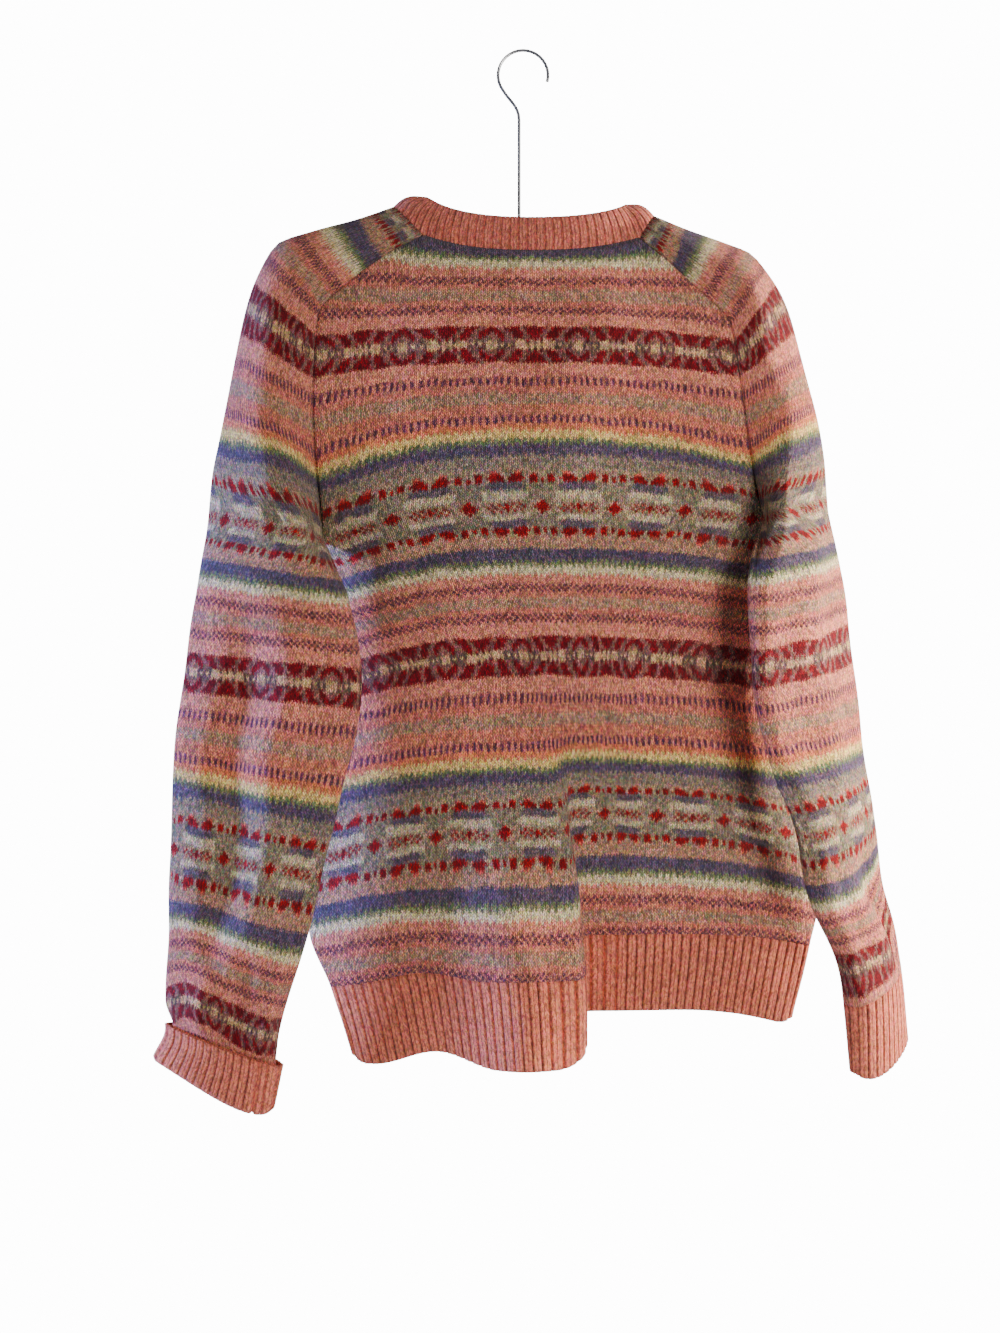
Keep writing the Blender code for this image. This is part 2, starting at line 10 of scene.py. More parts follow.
import bpy
import numpy as np
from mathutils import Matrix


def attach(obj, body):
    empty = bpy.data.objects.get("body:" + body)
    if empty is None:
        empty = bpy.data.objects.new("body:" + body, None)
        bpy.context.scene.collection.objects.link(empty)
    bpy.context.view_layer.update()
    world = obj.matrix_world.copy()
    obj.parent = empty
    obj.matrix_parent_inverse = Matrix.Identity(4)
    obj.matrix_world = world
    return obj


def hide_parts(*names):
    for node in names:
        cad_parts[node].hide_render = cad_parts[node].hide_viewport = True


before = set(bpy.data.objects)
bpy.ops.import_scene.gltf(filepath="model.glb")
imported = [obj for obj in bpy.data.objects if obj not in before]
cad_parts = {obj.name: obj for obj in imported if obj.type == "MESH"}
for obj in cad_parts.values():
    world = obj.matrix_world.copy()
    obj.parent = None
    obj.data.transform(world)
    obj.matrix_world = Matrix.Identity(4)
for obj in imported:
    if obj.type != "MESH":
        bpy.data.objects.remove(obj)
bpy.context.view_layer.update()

bl_info = {
    "name": "Fair isle jumper",
    "version": (1, 0, 0),
    "blender": (4, 5, 0),
    "location": "3D View > Sidebar > Jumper",
    "description": "Knitted pieces, ribs, wool fuzz and stage for a fair isle jumper on a hanger",
    "category": "Object",
}

MM = 0.001

# Cloth
CLOTH_THICKNESS = 2.4 * MM      # stranded knitting, two yarns thick, lightly felted
RIB_THICKNESS = 3.0 * MM        # ribbed neckband, hem and cuffs

# Where the pieces end, counted from the back of the neck down in rows of the forms' tables, which are a
# little closer together than knitted rows
ARMPIT_ROW = 108
HEM_SEAM_ROW = 297
HEM_ROW = 335
CUFF_SEAM_ROW = 322
CUFF_ROW = 352

# How quickly a row droops, and how quickly the cloth rounds away, from its middle to its sides
DROOP_POWER = 2.5
ROUND_POWER = 2.5

# The body, one line for each row of knitting that shapes it, in millimetres.
#  left, right: where the row meets the side seam or the armhole, halfway from back to front
#  spread: how far the back armhole seam lies from the front one
#  back_y, back_z, front_y, front_z: the middle of the row on the back and on the front
BODY_COLUMNS = ("row", "left_x", "left_y", "left_z", "right_x", "right_y", "right_z",
                "spread", "back_y", "back_z", "front_y", "front_z")
BODY_ROWS = (
    (0, -76, 0, -142, 88, 0, -144, 30, -28, -156, 46, -214),
    (6, -102, 0, -157, 108, 0, -162, 42, -33, -166, 48, -219),
    (18, -134, 0, -182, 133, 0, -187, 54, -39, -187, 51, -229),
    (26, -153, 0, -203, 154, 0, -209, 62, -42, -202, 53, -236),
    (42, -156, -2, -238, 159, -2, -239, 70, -46, -230, 55, -249),
    (57, -157, -2, -269, 163, -2, -266, 66, -49, -256, 56, -265),
    (79, -155, 1, -319, 170, 1, -311, 54, -52, -293, 57, -298),
    (98, -153, 3, -350, 177, 3, -335, 26, -54, -326, 58, -329),
    (108, -153, 5, -369, 183, 5, -351, 0, -55, -344, 58, -347),
    (139, -163, 20, -426, 190, 24, -408, 0, -56, -395, 60, -399),
    (177, -167, 22, -495, 194, 28, -472, 0, -57, -460, 62, -464),
    (214, -168, 18, -562, 205, 26, -545, 0, -59, -535, 62, -532),
    (246, -165, 12, -618, 215, 20, -598, 0, -60, -588, 60, -583),
    (274, -162, 2, -668, 225, 12, -646, 0, -60, -647, 56, -630),
    (297, -145, -8, -709, 218, 6, -680, 0, -60, -696, 50, -667),
    (335, -128, -20, -765, 204, 0, -740, 0, -62, -760, 42, -728),
)

# The back's large folds towards the hem. A swell comes forward left of the middle, and at its right side the
# cloth steps back and up to a shelf that runs on to the right seam. A shallow valley lies left of the swell.
FOLD_COLUMNS = ("row", "swell", "step_back", "step_up", "valley_up")
FOLD_ROWS = (
    (190, 0, 0, 0, 0),
    (214, 2, 3, 6, 0),
    (246, 10, 10, 13, 0),
    (274, 18, 20, 23, 2),
    (297, 22, 26, 29, 6),
    (335, 26, 22, 37, 10),
)
SWELL_PLACE, SWELL_HALF_WIDTH = 0.39, 0.19
VALLEY_PLACE, VALLEY_HALF_WIDTH = 0.19, 0.14
STEP_PLACE, STEP_HALF_WIDTH = 0.520, 0.034

# The sleeves' tops, which arch over the shoulders from the back seam to the front one: the outermost point of
# each row, and how far the cloth bellies out behind (near) and in front (far) of a plain arch.
SHOULDER_COLUMNS = ("row", "outer_x", "outer_y", "outer_z", "near", "far")
LEFT_SHOULDER = (
    (0, -98, 0, -119, 2, 2),
    (6, -121, 0, -127, 3, 3),
    (18, -166, 0, -139, 4, 4),
    (22, -185, 0, -146, 5, 4),
    (26, -195, 0, -160, 6, 5),
    (42, -209, -2, -197, 8, 6),
    (57, -217, -4, -236, 13, 7),
    (98, -231, -9, -324, 30, 12),
)
RIGHT_SHOULDER = (
    (0, 99, 0, -126, 2, 2),
    (6, 119, 0, -134, 3, 3),
    (18, 157, 0, -148, 4, 4),
    (22, 171, 0, -154, 5, 4),
    (26, 181, 0, -165, 6, 5),
    (42, 198, 0, -195, 8, 6),
    (57, 208, 0, -233, 14, 7),
    (98, 222, 4, -313, 36, 12),
)

# The sleeves' flattened rings from the upper arm down: their inner and outer ends, and half their depth. Down
# to the armpit they are drawn to the armhole seams, and the arch above turns into them.
ARM_COLUMNS = ("row", "inner_x", "inner_y", "inner_z", "outer_x", "outer_y", "outer_z", "depth")
LEFT_ARM = (
    (57, -180, -38, -256, -217, -4, -236, 16),
    (79, -170, -42, -300, -225, -6, -288, 18),
    (98, -162, -44, -340, -231, -10, -324, 19),
    (108, -156, -45, -364, -234, -14, -347, 19),
    (139, -131, -45, -418, -243, -24, -402, 17),
    (177, -121, -46, -484, -252, -32, -472, 14),
    (214, -137, -47, -563, -259, -34, -543, 14),
    (246, -151, -45, -622, -262, -34, -601, 14),
    (274, -166, -42, -683, -264, -32, -656, 14),
    (312, -184, -36, -743, -266, -28, -716, 13),
    (322, -186, -34, -763, -261, -27, -734, 13),
    (352, -191, -32, -796, -273, -26, -762, 13),
)
RIGHT_ARM = (
    (57, 188, -36, -254, 207, -2, -233, 18),
    (79, 181, -44, -296, 215, 2, -278, 20),
    (98, 177, -53, -334, 221, 6, -313, 21),
    (108, 175, -58, -352, 224, 8, -333, 21),
    (139, 169, -68, -404, 236, 13, -384, 19),
    (177, 169, -73, -470, 246, 12, -449, 18),
    (214, 183, -72, -538, 254, 6, -521, 18),
    (246, 205, -66, -591, 260, 2, -568, 18),
    (274, 216, -60, -643, 265, 0, -617, 18),
    (312, 239, -54, -692, 275, -2, -669, 17),
    (322, 243, -52, -718, 279, -2, -689, 17),
    (352, 246, -48, -768, 287, -2, -746, 15),
)
ARCH_ENDS_ROW, RING_STARTS_ROW = 42, 98     # between them the arch turns into the flattened ring
WEB_ENDS_ROW = 150              # the pull towards the armpit has died away
NEAR_PULL, FAR_PULL = 0.13, 0.5 # how far round the ring, in turns, the seams draw the cloth

# The neckband leans from upright at the middle of the neck to nearly flat on top of the shoulders.
NECKBAND_RISE, NECKBAND_RISE_ON_SHOULDER = 25 * MM, 7 * MM
NECKBAND_LEAN, NECKBAND_LEAN_ON_SHOULDER = 2 * MM, 21 * MM
NECKBAND_ROLL = 4.0             # millimetres that the band rolls up on the shoulders
CORNER_SHARE = 0.4              # how far a raglan corner is on the way from the middle to the shoulder

# The left cuff is folded up over itself and over the end of the sleeve: the rows down its inner layer, and
# the rows up its outer layer with how far that lies outside the sleeve's middle surface, in millimetres.
TURN_DOWN = (322, 332, 342, 350)
TURN_UP = ((352, 2.3), (350, 4.4), (342, 4.8), (333, 5.2), (326, 5.7), (322, 6.2))

# Both cuffs' free edges dip on their back, most of all near their inner ends.
CUFF_DIP = 11 * MM

# How the pattern's rows run near the neck, where the shaping draws them up: the form's row and the pattern's
BODY_PATTERN_ROWS = ((0, -4.5), (6, 3.5), (12.6, 10), (26, 25), (34, 34), (400, 400))
SLEEVE_PATTERN_ROWS = ((0, -24), (6, -7), (18, 10), (26, 26), (42, 42), (400, 400))
FRONT_DROP_ROWS, FRONT_DROP_END = 33, 57    # the front's deeper neck shifts its pattern this many rows
FIRST_CHART_ROW = 33.5          # the form's row where the chart's first row lies
ROWS_PER_KNITTED_ROW = 1.2054   # rows of the forms' tables to one knitted row

# Where the back's stitches lie, in millimetres from the frame's middle: folds and strain gather and spread
# them. Each line is (row of the forms' tables, the places of the stitches numbered above it).
WALE_STITCHES = (-48, -24, 0, 24, 48, 72)
WALE_ROWS = (
    (42, (-149.6, -89.8, -23.5, 40.3, 97.2, 150.6)),
    (109, (-162.1, -92.8, -23.6, 40.6, 104.6, 168.9)),
    (177, (-102.4, -57.0, 1.0, 41.9, 78.6, 132.1)),
    (244, (-115.0, -59.7, 0.9, 43.5, 83.6, 144.2)),
)
OUTER_STITCH = 2.5              # millimetres, beyond the first and last of those

SLEEVE_STITCHES = 124           # round a sleeve
LEFT_STAR_STITCH, RIGHT_STAR_STITCH = 34, 5     # stitches from the back seam to the middle of a star
FRONT_STITCHES = 130

# Wool colours, sRGB from 0 to 255
WOOL = {
    "red": (118, 2, 28), "mauve": (140, 92, 86), "cream_heart": (212, 166, 128),
    "grey_violet": (112, 84, 78), "peach": (222, 138, 117), "salmon": (210, 124, 106),
    "bramble": (104, 60, 78), "heather": (180, 135, 112), "coral": (208, 124, 102),
    "orange": (224, 128, 94), "yellow": (234, 197, 126), "green": (120, 126, 90), "violet": (92, 78, 98),
    "grey": (142, 124, 110), "beige": (162, 136, 114), "cream": (230, 210, 166),
    "leaf_red": (140, 0, 26), "bright_coral": (206, 92, 80), "greige": (142, 126, 106),
    "zigzag": (84, 52, 70), "pale_grey": (200, 180, 148), "soft_violet": (102, 88, 96),
}

# Motifs, knit from small charts: how many stitches to a repeat, the stitch at its middle, and its rows from
# that middle to halfway to the next one. The other half mirrors it.
MOTIFS = {
    "plain": (2, 0, ("..",)),
    "ticks": (2, 0, (".x",)),
    "zigzag": (2, 0, (".x", "x.")),
    "star_top": (24, 0, ("xx..xxxx.xxxx", "xxx..xxx..xxx", ".xxx..xxx.xxx", "..xx..xxx..xx",
                         "...x...xx.x.x")),
    "star_heart": (24, 0, ("xx.....xxx.x.", "xx.x.x.xxxxxx", "xx.....xxx.x.")),
    "star_foot": (24, 0, ("...x...xx.x.x", "..xx..xxx..xx", ".xxx..xxx.xxx", "xxx..xxx..xxx",
                          "xx..xxxx.xxxx")),
    "bud_above": (20, 14, ("...........", "......xx...")),
    "leaf_above": (20, 14, ("..xx..xxx..", "x.xx.xxxxx.", "x.xx..xxxx.")),
    "shade": (20, 14, ("......xxxxx", ".....xxxxxx", "......xxxxx")),
    "bar": (20, 14, ("....xxxxxxx",)),
    "flower": (20, 14, ("x..........", "xx....x.x.x", "xxx..x.x.xx", "xx....x.x.x", "x..........")),
    "leaf_below": (20, 14, ("x.xx..xxxx.", "x.xx.xxxxx.", "..xx..xxx..")),
    "bud_below": (20, 14, ("......xx...", "...........", "...........", "...........", "...........")),
}

# The whole repeat from the top of a star: rows, the yarn behind, the yarn of the figure, the motif
BANDS = (
    (5, "mauve", "red", "star_top"), (3, "grey_violet", "cream_heart", "star_heart"),
    (5, "mauve", "red", "star_foot"), (5, "peach", "peach", "plain"), (3, "salmon", "bramble", "ticks"),
    (3, "salmon", "salmon", "plain"), (4, "heather", "heather", "plain"), (4, "coral", "coral", "plain"),
    (3, "salmon", "bramble", "ticks"), (2, "orange", "orange", "plain"),
    (1, "orange", "yellow", "ticks"), (2, "yellow", "yellow", "plain"), (1, "yellow", "green", "ticks"),
    (1, "green", "green", "plain"), (1, "green", "violet", "ticks"), (3, "violet", "violet", "plain"),
    (1, "violet", "grey", "ticks"), (4, "grey", "grey", "plain"),
    (2, "beige", "bright_coral", "bud_above"), (3, "beige", "leaf_red", "leaf_above"),
    (3, "greige", "soft_violet", "shade"), (3, "greige", "pale_grey", "bar"),
    (5, "beige", "leaf_red", "flower"), (2, "greige", "pale_grey", "bar"),
    (3, "greige", "soft_violet", "shade"),
    (3, "beige", "leaf_red", "leaf_below"), (5, "heather", "bright_coral", "bud_below"),
    (4, "violet", "violet", "plain"), (1, "violet", "green", "ticks"), (1, "green", "green", "plain"),
    (1, "green", "cream", "ticks"), (2, "cream", "cream", "plain"), (1, "cream", "peach", "ticks"),
    (3, "peach", "peach", "plain"), (3, "salmon", "zigzag", "zigzag"), (2, "salmon", "salmon", "plain"),
    (4, "heather", "heather", "plain"), (2, "salmon", "salmon", "plain"), (3, "salmon", "zigzag", "zigzag"),
    (5, "peach", "peach", "plain"),
)
MOST_CODE = 8192                # above the largest number that a half chart's stitches make
MOST_HALF = 12                  # stitches in half of the widest repeat
RAMP_ROWS = 38                  # rows of the chart that one ramp holds
RAMP_CELLS = 255

# Soft creases: a ridge or trough between two places on a piece, in rows and shares of its width or turns
# round it. Each line is (row a, place a, row b, place b, width, height). Width and height are in millimetres,
# and a trough's height is less than zero.
BACK_CREASES = (
    (96, 0.05, 150, 0.17, 13, -3.0),
    (104, 0.13, 170, 0.22, 12, 2.0),
    (92, 0.95, 152, 0.86, 13, -3.2),
    (104, 0.87, 176, 0.80, 13, 2.2),
    (150, 0.93, 290, 0.90, 16, -4.0),
    (180, 0.60, 290, 0.62, 16, -2.5),
    (150, 0.50, 225, 0.535, 11, -1.6),
    (205, 0.28, 292, 0.25, 20, -2.0),
    (40, 0.30, 90, 0.34, 26, -1.2),
    (36, 0.72, 96, 0.66, 26, -1.4),
    (236, 0.76, 292, 0.78, 14, 1.8),
)
FRONT_CREASES = (
    (96, 0.05, 150, 0.17, 13, -3.0),
    (92, 0.95, 152, 0.86, 13, -3.2),
    (150, 0.30, 280, 0.34, 20, -3.0),
    (170, 0.66, 290, 0.62, 18, 2.6),
)
LEFT_SLEEVE_CREASES = (
    (130, 0.235, 300, 0.190, 12, 6.0),
    (130, 0.305, 310, 0.270, 11, -7.0),
    (262, 0.11, 326, 0.10, 7, 3.4),
    (262, 0.20, 334, 0.215, 8, -5.0),
    (284, 0.30, 332, 0.31, 8, 2.8),
    (84, 0.06, 120, 0.20, 12, -2.4),
    (150, 0.72, 290, 0.74, 14, -3.5),
)
RIGHT_SLEEVE_CREASES = (
    (244, 0.27, 328, 0.30, 8, -5.4),
    (244, 0.19, 328, 0.21, 9, 2.8),
    (84, 0.06, 124, 0.22, 12, -2.6),
    (96, 0.21, 268, 0.23, 14, 7.0),
    (150, 0.70, 290, 0.74, 14, -3.5),
)

CREASED_PANEL, CREASED_SLEEVE = 330, 250    # the width and the girth that the places are shares of
CREASE_ROW = 1.7                # height of a row of the forms' tables
CREASE_SWAY, CREASE_SWAY_LENGTH = 2.5, 19   # how far and how often a crease winds
CREASE_TAPER = 0.35             # share of a crease's length over which each end dies away

# The back's step hides behind its swell: how near the step the cloth moves, in shares of the width, how
# strongly it doubles over, and the rows over which that grows
FOLD_REACH, FOLD_OVER, FOLD_GROWS = 0.040, 1.35, 80
HEM_CORNER, HEM_CORNER_LIFT = 0.035, 7 * MM     # the hem's rounded corners
FOLD_CORNER_PLACE, FOLD_CORNER_REACH = 0.500, 0.024     # and the one where it turns into the step
FOLD_CORNER_LIFT = 9 * MM

# The raglan seams lie in a narrow dip: its width in shares of a piece and its depth
SEAM_WIDTH, SEAM_DIP = 0.010, 1.6 * MM

# How many rows the lower sleeves' creases draw the pattern up
LEFT_PUCKER, RIGHT_PUCKER = 3.6, 15.0

# Ribs: two knit stitches and a purl one
RIB_STITCHES = 3
GROOVE_DEPTH = 1.2              # millimetres, on both sides of the wall
RIB_FACES = 9                   # faces across one rib
NECK_RIB_FADE = 0.55            # share of the grooves' depth that the neckband keeps
NECK_EASE_FACES = 30            # how far the neckband's free edge is rounded off at the shoulders
HEM_RIB_ROWS, NECK_RIB_ROWS = 30, 13
LEFT_CUFF_RIB_ROWS, RIGHT_CUFF_RIB_ROWS = 44, 26
RIGHT_CUFF_FEWER_RIBS = 6       # than the left cuff has
FRONT_COARSER, FRONT_FEWER = 1.3, 0.8   # the front's rows and faces, as shares of the back's
CUFF_SEAM_TURN = 0.115          # where the turned cuff is sewn up, in turns round it
CUFF_SEAM_WIDTH, CUFF_SEAM_DEPTH = 0.012, 2.2 * MM
HEM_SWING = 1.3 * MM            # how far the hem waves in and out

# Shares of the points laid round the neck seam, before they are evened out: back, front and each sleeve
NECK_BACK_SHARE, NECK_FRONT_SHARE, NECK_SLEEVE_SHARE = 0.32, 0.33, 0.175

# The stage. Each light is (name, place, size, colour), and its power is a setting.
LIGHTS = (
    ("key", (0.85, -1.55, -0.20), 0.6, (1.0, 0.94, 0.86)),
    ("window", (1.5, 0.06, -0.25), 0.3, (1.0, 0.92, 0.84)),
    ("fill", (-1.45, 0.03, -0.45), 0.22, (0.34, 0.44, 1.0)),
)
AIM = (0.0, -0.02, -0.47)       # where the lights point
CAMERA_PLACE = (-0.01748, -1.750, -0.46702)
CAMERA_LENS, SENSOR = 62.19, 36.0
WHITE = (1.0, 1.0, 1.0, 1.0)
WHITE_STRENGTH = 14.0           # bright enough to show as plain white
EVEN_WHITE = (0.94, 0.95, 1.0, 1.0)


# ---------------------------------------------------------------- forms

def slopes(keys, values):
    """Slopes that carry a smooth curve through the values with no overshoot."""
    steps = np.diff(keys)
    chords = np.diff(values) / steps
    found = np.zeros(len(keys))
    found[0], found[-1] = chords[0], chords[-1]
    for i in range(1, len(keys) - 1):
        before, after = chords[i - 1], chords[i]
        if before * after > 0:
            heavy, light = 2 * steps[i] + steps[i - 1], steps[i] + 2 * steps[i - 1]
            found[i] = (heavy + light) / (heavy / before + light / after)
    return found


def read_table(columns, rows, column, at):
    """The values of one column at any rows of knitting, in the table's own unit."""
    keys = np.array([line[0] for line in rows], float)
    values = np.array([line[columns.index(column)] for line in rows], float)
    rates = slopes(keys, values)
    at = np.clip(at, keys[0], keys[-1])
    i = np.minimum(np.searchsorted(keys, at, side="right") - 1, len(keys) - 2)
    step = keys[i + 1] - keys[i]
    t = (at - keys[i]) / step
    return (values[i] * (1 + 2 * t) * (1 - t) ** 2 + rates[i] * step * t * (1 - t) ** 2
            + values[i + 1] * t * t * (3 - 2 * t) - rates[i + 1] * step * t * t * (1 - t))


def table_point(columns, rows, prefix, at):
    return np.stack([read_table(columns, rows, f"{prefix}_{axis}", at) for axis in "xyz"], axis=-1) * MM


def ease(t):
    t = np.clip(t, 0.0, 1.0)
    return t * t * (3 - 2 * t)


def bump(place, centre, half_width):
    """A smooth hump, 1 at the centre and 0 beyond the half width."""
    return ease(1 - abs(place - centre) / half_width)


def net(rows, places):
    """Every row with every place."""
    return np.meshgrid(np.asarray(rows, float), np.asarray(places, float), indexing="ij")


def side_point(side, row, front):
    """Where rows meet the armhole or the side seam: side is "left" or "right"."""
    point = table_point(BODY_COLUMNS, BODY_ROWS, side, row)
    spread = np.where(row < ARMPIT_ROW, read_table(BODY_COLUMNS, BODY_ROWS, "spread", row), 0.0) * MM
    point[..., 1] += spread / 2 if front else -spread / 2
    return point


def body_point(row, place, front=False):
    """Points on the body: place runs from 0 at the left seam to 1 at the right seam."""
    left, right = side_point("left", row, front), side_point("right", row, front)
    side = np.where((place < 0.5)[..., None], left, right)
    name = "front" if front else "back"
    middle_y = read_table(BODY_COLUMNS, BODY_ROWS, f"{name}_y", row) * MM
    middle_z = read_table(BODY_COLUMNS, BODY_ROWS, f"{name}_z", row) * MM
    off_middle = abs(1 - 2 * place)
    x = left[..., 0] + (right[..., 0] - left[..., 0]) * place
    y = middle_y + (side[..., 1] - middle_y) * off_middle ** ROUND_POWER
    z = middle_z + (side[..., 2] - middle_z) * off_middle ** DROOP_POWER
    if not front:
        y, z = add_folds(row, place, y, z)
    return np.stack((x, y, z), axis=-1)


def add_folds(row, place, y, z):
    """The back's swell, valley and stepped fold."""
    swell, step_back, step_up, valley_up = (
        read_table(FOLD_COLUMNS, FOLD_ROWS, column, row) * MM for column in FOLD_COLUMNS[1:])
    step = ease((place - STEP_PLACE + STEP_HALF_WIDTH) / (2 * STEP_HALF_WIDTH))
    beyond = np.maximum(place - STEP_PLACE, 0.0) / (1 - STEP_PLACE)
    shelf = step * (1 - beyond ** 3)
    y = y + step_back * shelf - swell * bump(place, SWELL_PLACE, SWELL_HALF_WIDTH)
    z = z + step_up * shelf + valley_up * bump(place, VALLEY_PLACE, VALLEY_HALF_WIDTH)
    return y, z


def sleeve_point(side, row, turn):
    """Points on a sleeve: turn is 0 at the back seam, 0.5 at the outer fold and 1 at the front seam."""
    mix = ease((row - ARCH_ENDS_ROW) / (RING_STARTS_ROW - ARCH_ENDS_ROW))[..., None]
    return arch_point(side, row, turn) * (1 - mix) + ring_point(side, row, turn) * mix


def arch_point(side, row, turn):
    """A half ellipse from the back seam over the outermost point to the front seam."""
    table = LEFT_SHOULDER if side == "left" else RIGHT_SHOULDER
    back_seam, front_seam = side_point(side, row, False), side_point(side, row, True)
    outer = table_point(SHOULDER_COLUMNS, table, "outer", row)
    near, far = (read_table(SHOULDER_COLUMNS, table, name, row) * MM for name in ("near", "far"))
    start = (back_seam + front_seam) / 2
    wave = np.sin(2 * np.pi * turn)
    belly = (near * np.maximum(wave, 0.0) - far * np.maximum(-wave, 0.0))[..., None]
    return (start + (back_seam - start) * np.cos(np.pi * turn)[..., None]
            + (outer - start) * np.sin(np.pi * turn)[..., None] + depth_way(side, outer - start) * belly)


def ring_point(side, row, turn):
    """A flattened ring, drawn to the armhole seams at its two ends down to the armpit and a little below."""
    table = LEFT_ARM if side == "left" else RIGHT_ARM
    inner = table_point(ARM_COLUMNS, table, "inner", row)
    outer = table_point(ARM_COLUMNS, table, "outer", row)
    depth = read_table(ARM_COLUMNS, table, "depth", row) * MM
    dip = CUFF_DIP * np.maximum((row - CUFF_SEAM_ROW) / (CUFF_ROW - CUFF_SEAM_ROW), 0.0)
    angle = 2 * np.pi * turn
    web = ease((row - RING_STARTS_ROW) / (WEB_ENDS_ROW - RING_STARTS_ROW))
    depth = depth * np.where(angle > np.pi, web, 1.0)
    point = ((inner + outer) / 2 + (inner - outer) / 2 * np.cos(angle)[..., None]
             + depth_way(side, outer - inner) * (depth * np.sin(angle))[..., None])
    point[..., 2] -= dip * np.maximum(np.sin(angle), 0.0) * (0.4 + 0.6 * np.cos(angle))
    near_share = (np.maximum(1 - turn / NEAR_PULL, 0.0) ** 2)[..., None]
    far_share = (np.maximum(1 - (1 - turn) / FAR_PULL, 0.0) ** 1.5)[..., None]
    fade = (np.maximum(1 - (row - ARMPIT_ROW) / (WEB_ENDS_ROW - ARMPIT_ROW), 0.0) ** 2)[..., None]
    armpit = np.full_like(row, ARMPIT_ROW)
    ring_end = table_point(ARM_COLUMNS, table, "inner", armpit)
    below = (side_point(side, armpit, False) - ring_end) * fade
    above = (row <= ARMPIT_ROW)[..., None]
    near_pull = np.where(above, side_point(side, row, False) - inner, below)
    far_pull = np.where(above, side_point(side, row, True) - inner, below)
    return point + near_pull * near_share + far_pull * far_share


def depth_way(side, reach):
    """The level direction across a sleeve, towards the wearer's back."""
    way = np.cross((0, 0, 1), reach) * (1 if side == "left" else -1)
    return way / np.linalg.norm(way, axis=-1, keepdims=True)


def grid_normals(grid, joined_from):
    """Unit normals by differences along and across a grid. Columns of joined rows run on round the piece."""
    along = np.gradient(grid, axis=0)
    across = np.gradient(grid, axis=1)
    if joined_from is not None:
        round_seam = (grid[joined_from:, 1] - grid[joined_from:, -2]) / 2
        across[joined_from:, 0] = across[joined_from:, -1] = round_seam
    normals = np.cross(along, across)
    return normals / np.maximum(np.linalg.norm(normals, axis=2, keepdims=True), 1e-12)


def outward(grid, joined_from, hint):
    """Normals turned to the piece's outer side: hint is a direction, or None on a ring."""
    normals = grid_normals(grid, joined_from)
    if hint is None:
        hint = grid[-1] - grid[-1].mean(axis=0)
        agree = (normals[-1] * hint).sum()
    else:
        agree = (normals * np.asarray(hint, float)).sum()
    return normals if agree > 0 else -normals


def creases(table, row, place, width):
    """How far each point is pressed in or out: width is the piece's width or girth in millimetres."""
    total = np.zeros_like(row)
    px, py = place * width, row * CREASE_ROW
    for row_a, place_a, row_b, place_b, breadth, height in table:
        ax, ay = place_a * width, row_a * CREASE_ROW
        bx, by = place_b * width, row_b * CREASE_ROW
        length = math.hypot(bx - ax, by - ay)
        ux, uy = (bx - ax) / length, (by - ay) / length
        along = (px - ax) * ux + (py - ay) * uy
        off = (px - ax) * uy - (py - ay) * ux
        off = off + CREASE_SWAY * np.sin(along / CREASE_SWAY_LENGTH + row_a)
        fading = CREASE_TAPER * length
        taper = ease(along / fading) * ease((length - along) / fading)
        total += height * MM * taper * np.exp(-(off / breadth) ** 2)
    return total


def waver(row, place, seed):
    """Low swells all over a piece, a millimetre or so high."""
    r, p = row / 20, place * 7
    return MM * (0.55 * np.sin(1.1 * r + 2.3 * p + seed) + 0.45 * np.sin(2.3 * r - 1.7 * p + 2 * seed)
                 + 0.3 * np.sin(4.1 * p + 0.7 * r - seed) + 0.2 * np.sin(3.7 * r + 5.3 * p + 3 * seed))


# ---------------------------------------------------------------- stitch coordinates

def knitted_row(row, table=BODY_PATTERN_ROWS):
    keys, values = zip(*table)
    return (np.interp(row, keys, values) - FIRST_CHART_ROW) / ROWS_PER_KNITTED_ROW


def back_stitch(row, x):
    """The stitch at each place on the back, from the table of wales."""
    keys = [line[0] for line in WALE_ROWS]
    columns = [np.interp(row, keys, [line[1][k] for line in WALE_ROWS]) for k in range(len(WALE_STITCHES))]
    x = x / MM
    found = WALE_STITCHES[0] + (x - columns[0]) / OUTER_STITCH
    for k in range(len(columns) - 1):
        share = (x - columns[k]) / (columns[k + 1] - columns[k])
        inside = WALE_STITCHES[k] + share * (WALE_STITCHES[k + 1] - WALE_STITCHES[k])
        found = np.where(x > columns[k], inside, found)
    beyond = WALE_STITCHES[-1] + (x - columns[-1]) / OUTER_STITCH
    return np.where(x > columns[-1], beyond, found)


def girth_share(grid):
    """How far round each point of each row is, as a share of the row's whole length."""
    steps = np.linalg.norm(np.diff(grid, axis=1), axis=2)
    run = np.concatenate((np.zeros((len(grid), 1)), np.cumsum(steps, axis=1)), axis=1)
    return run / run[:, -1:]


# ---------------------------------------------------------------- meshes

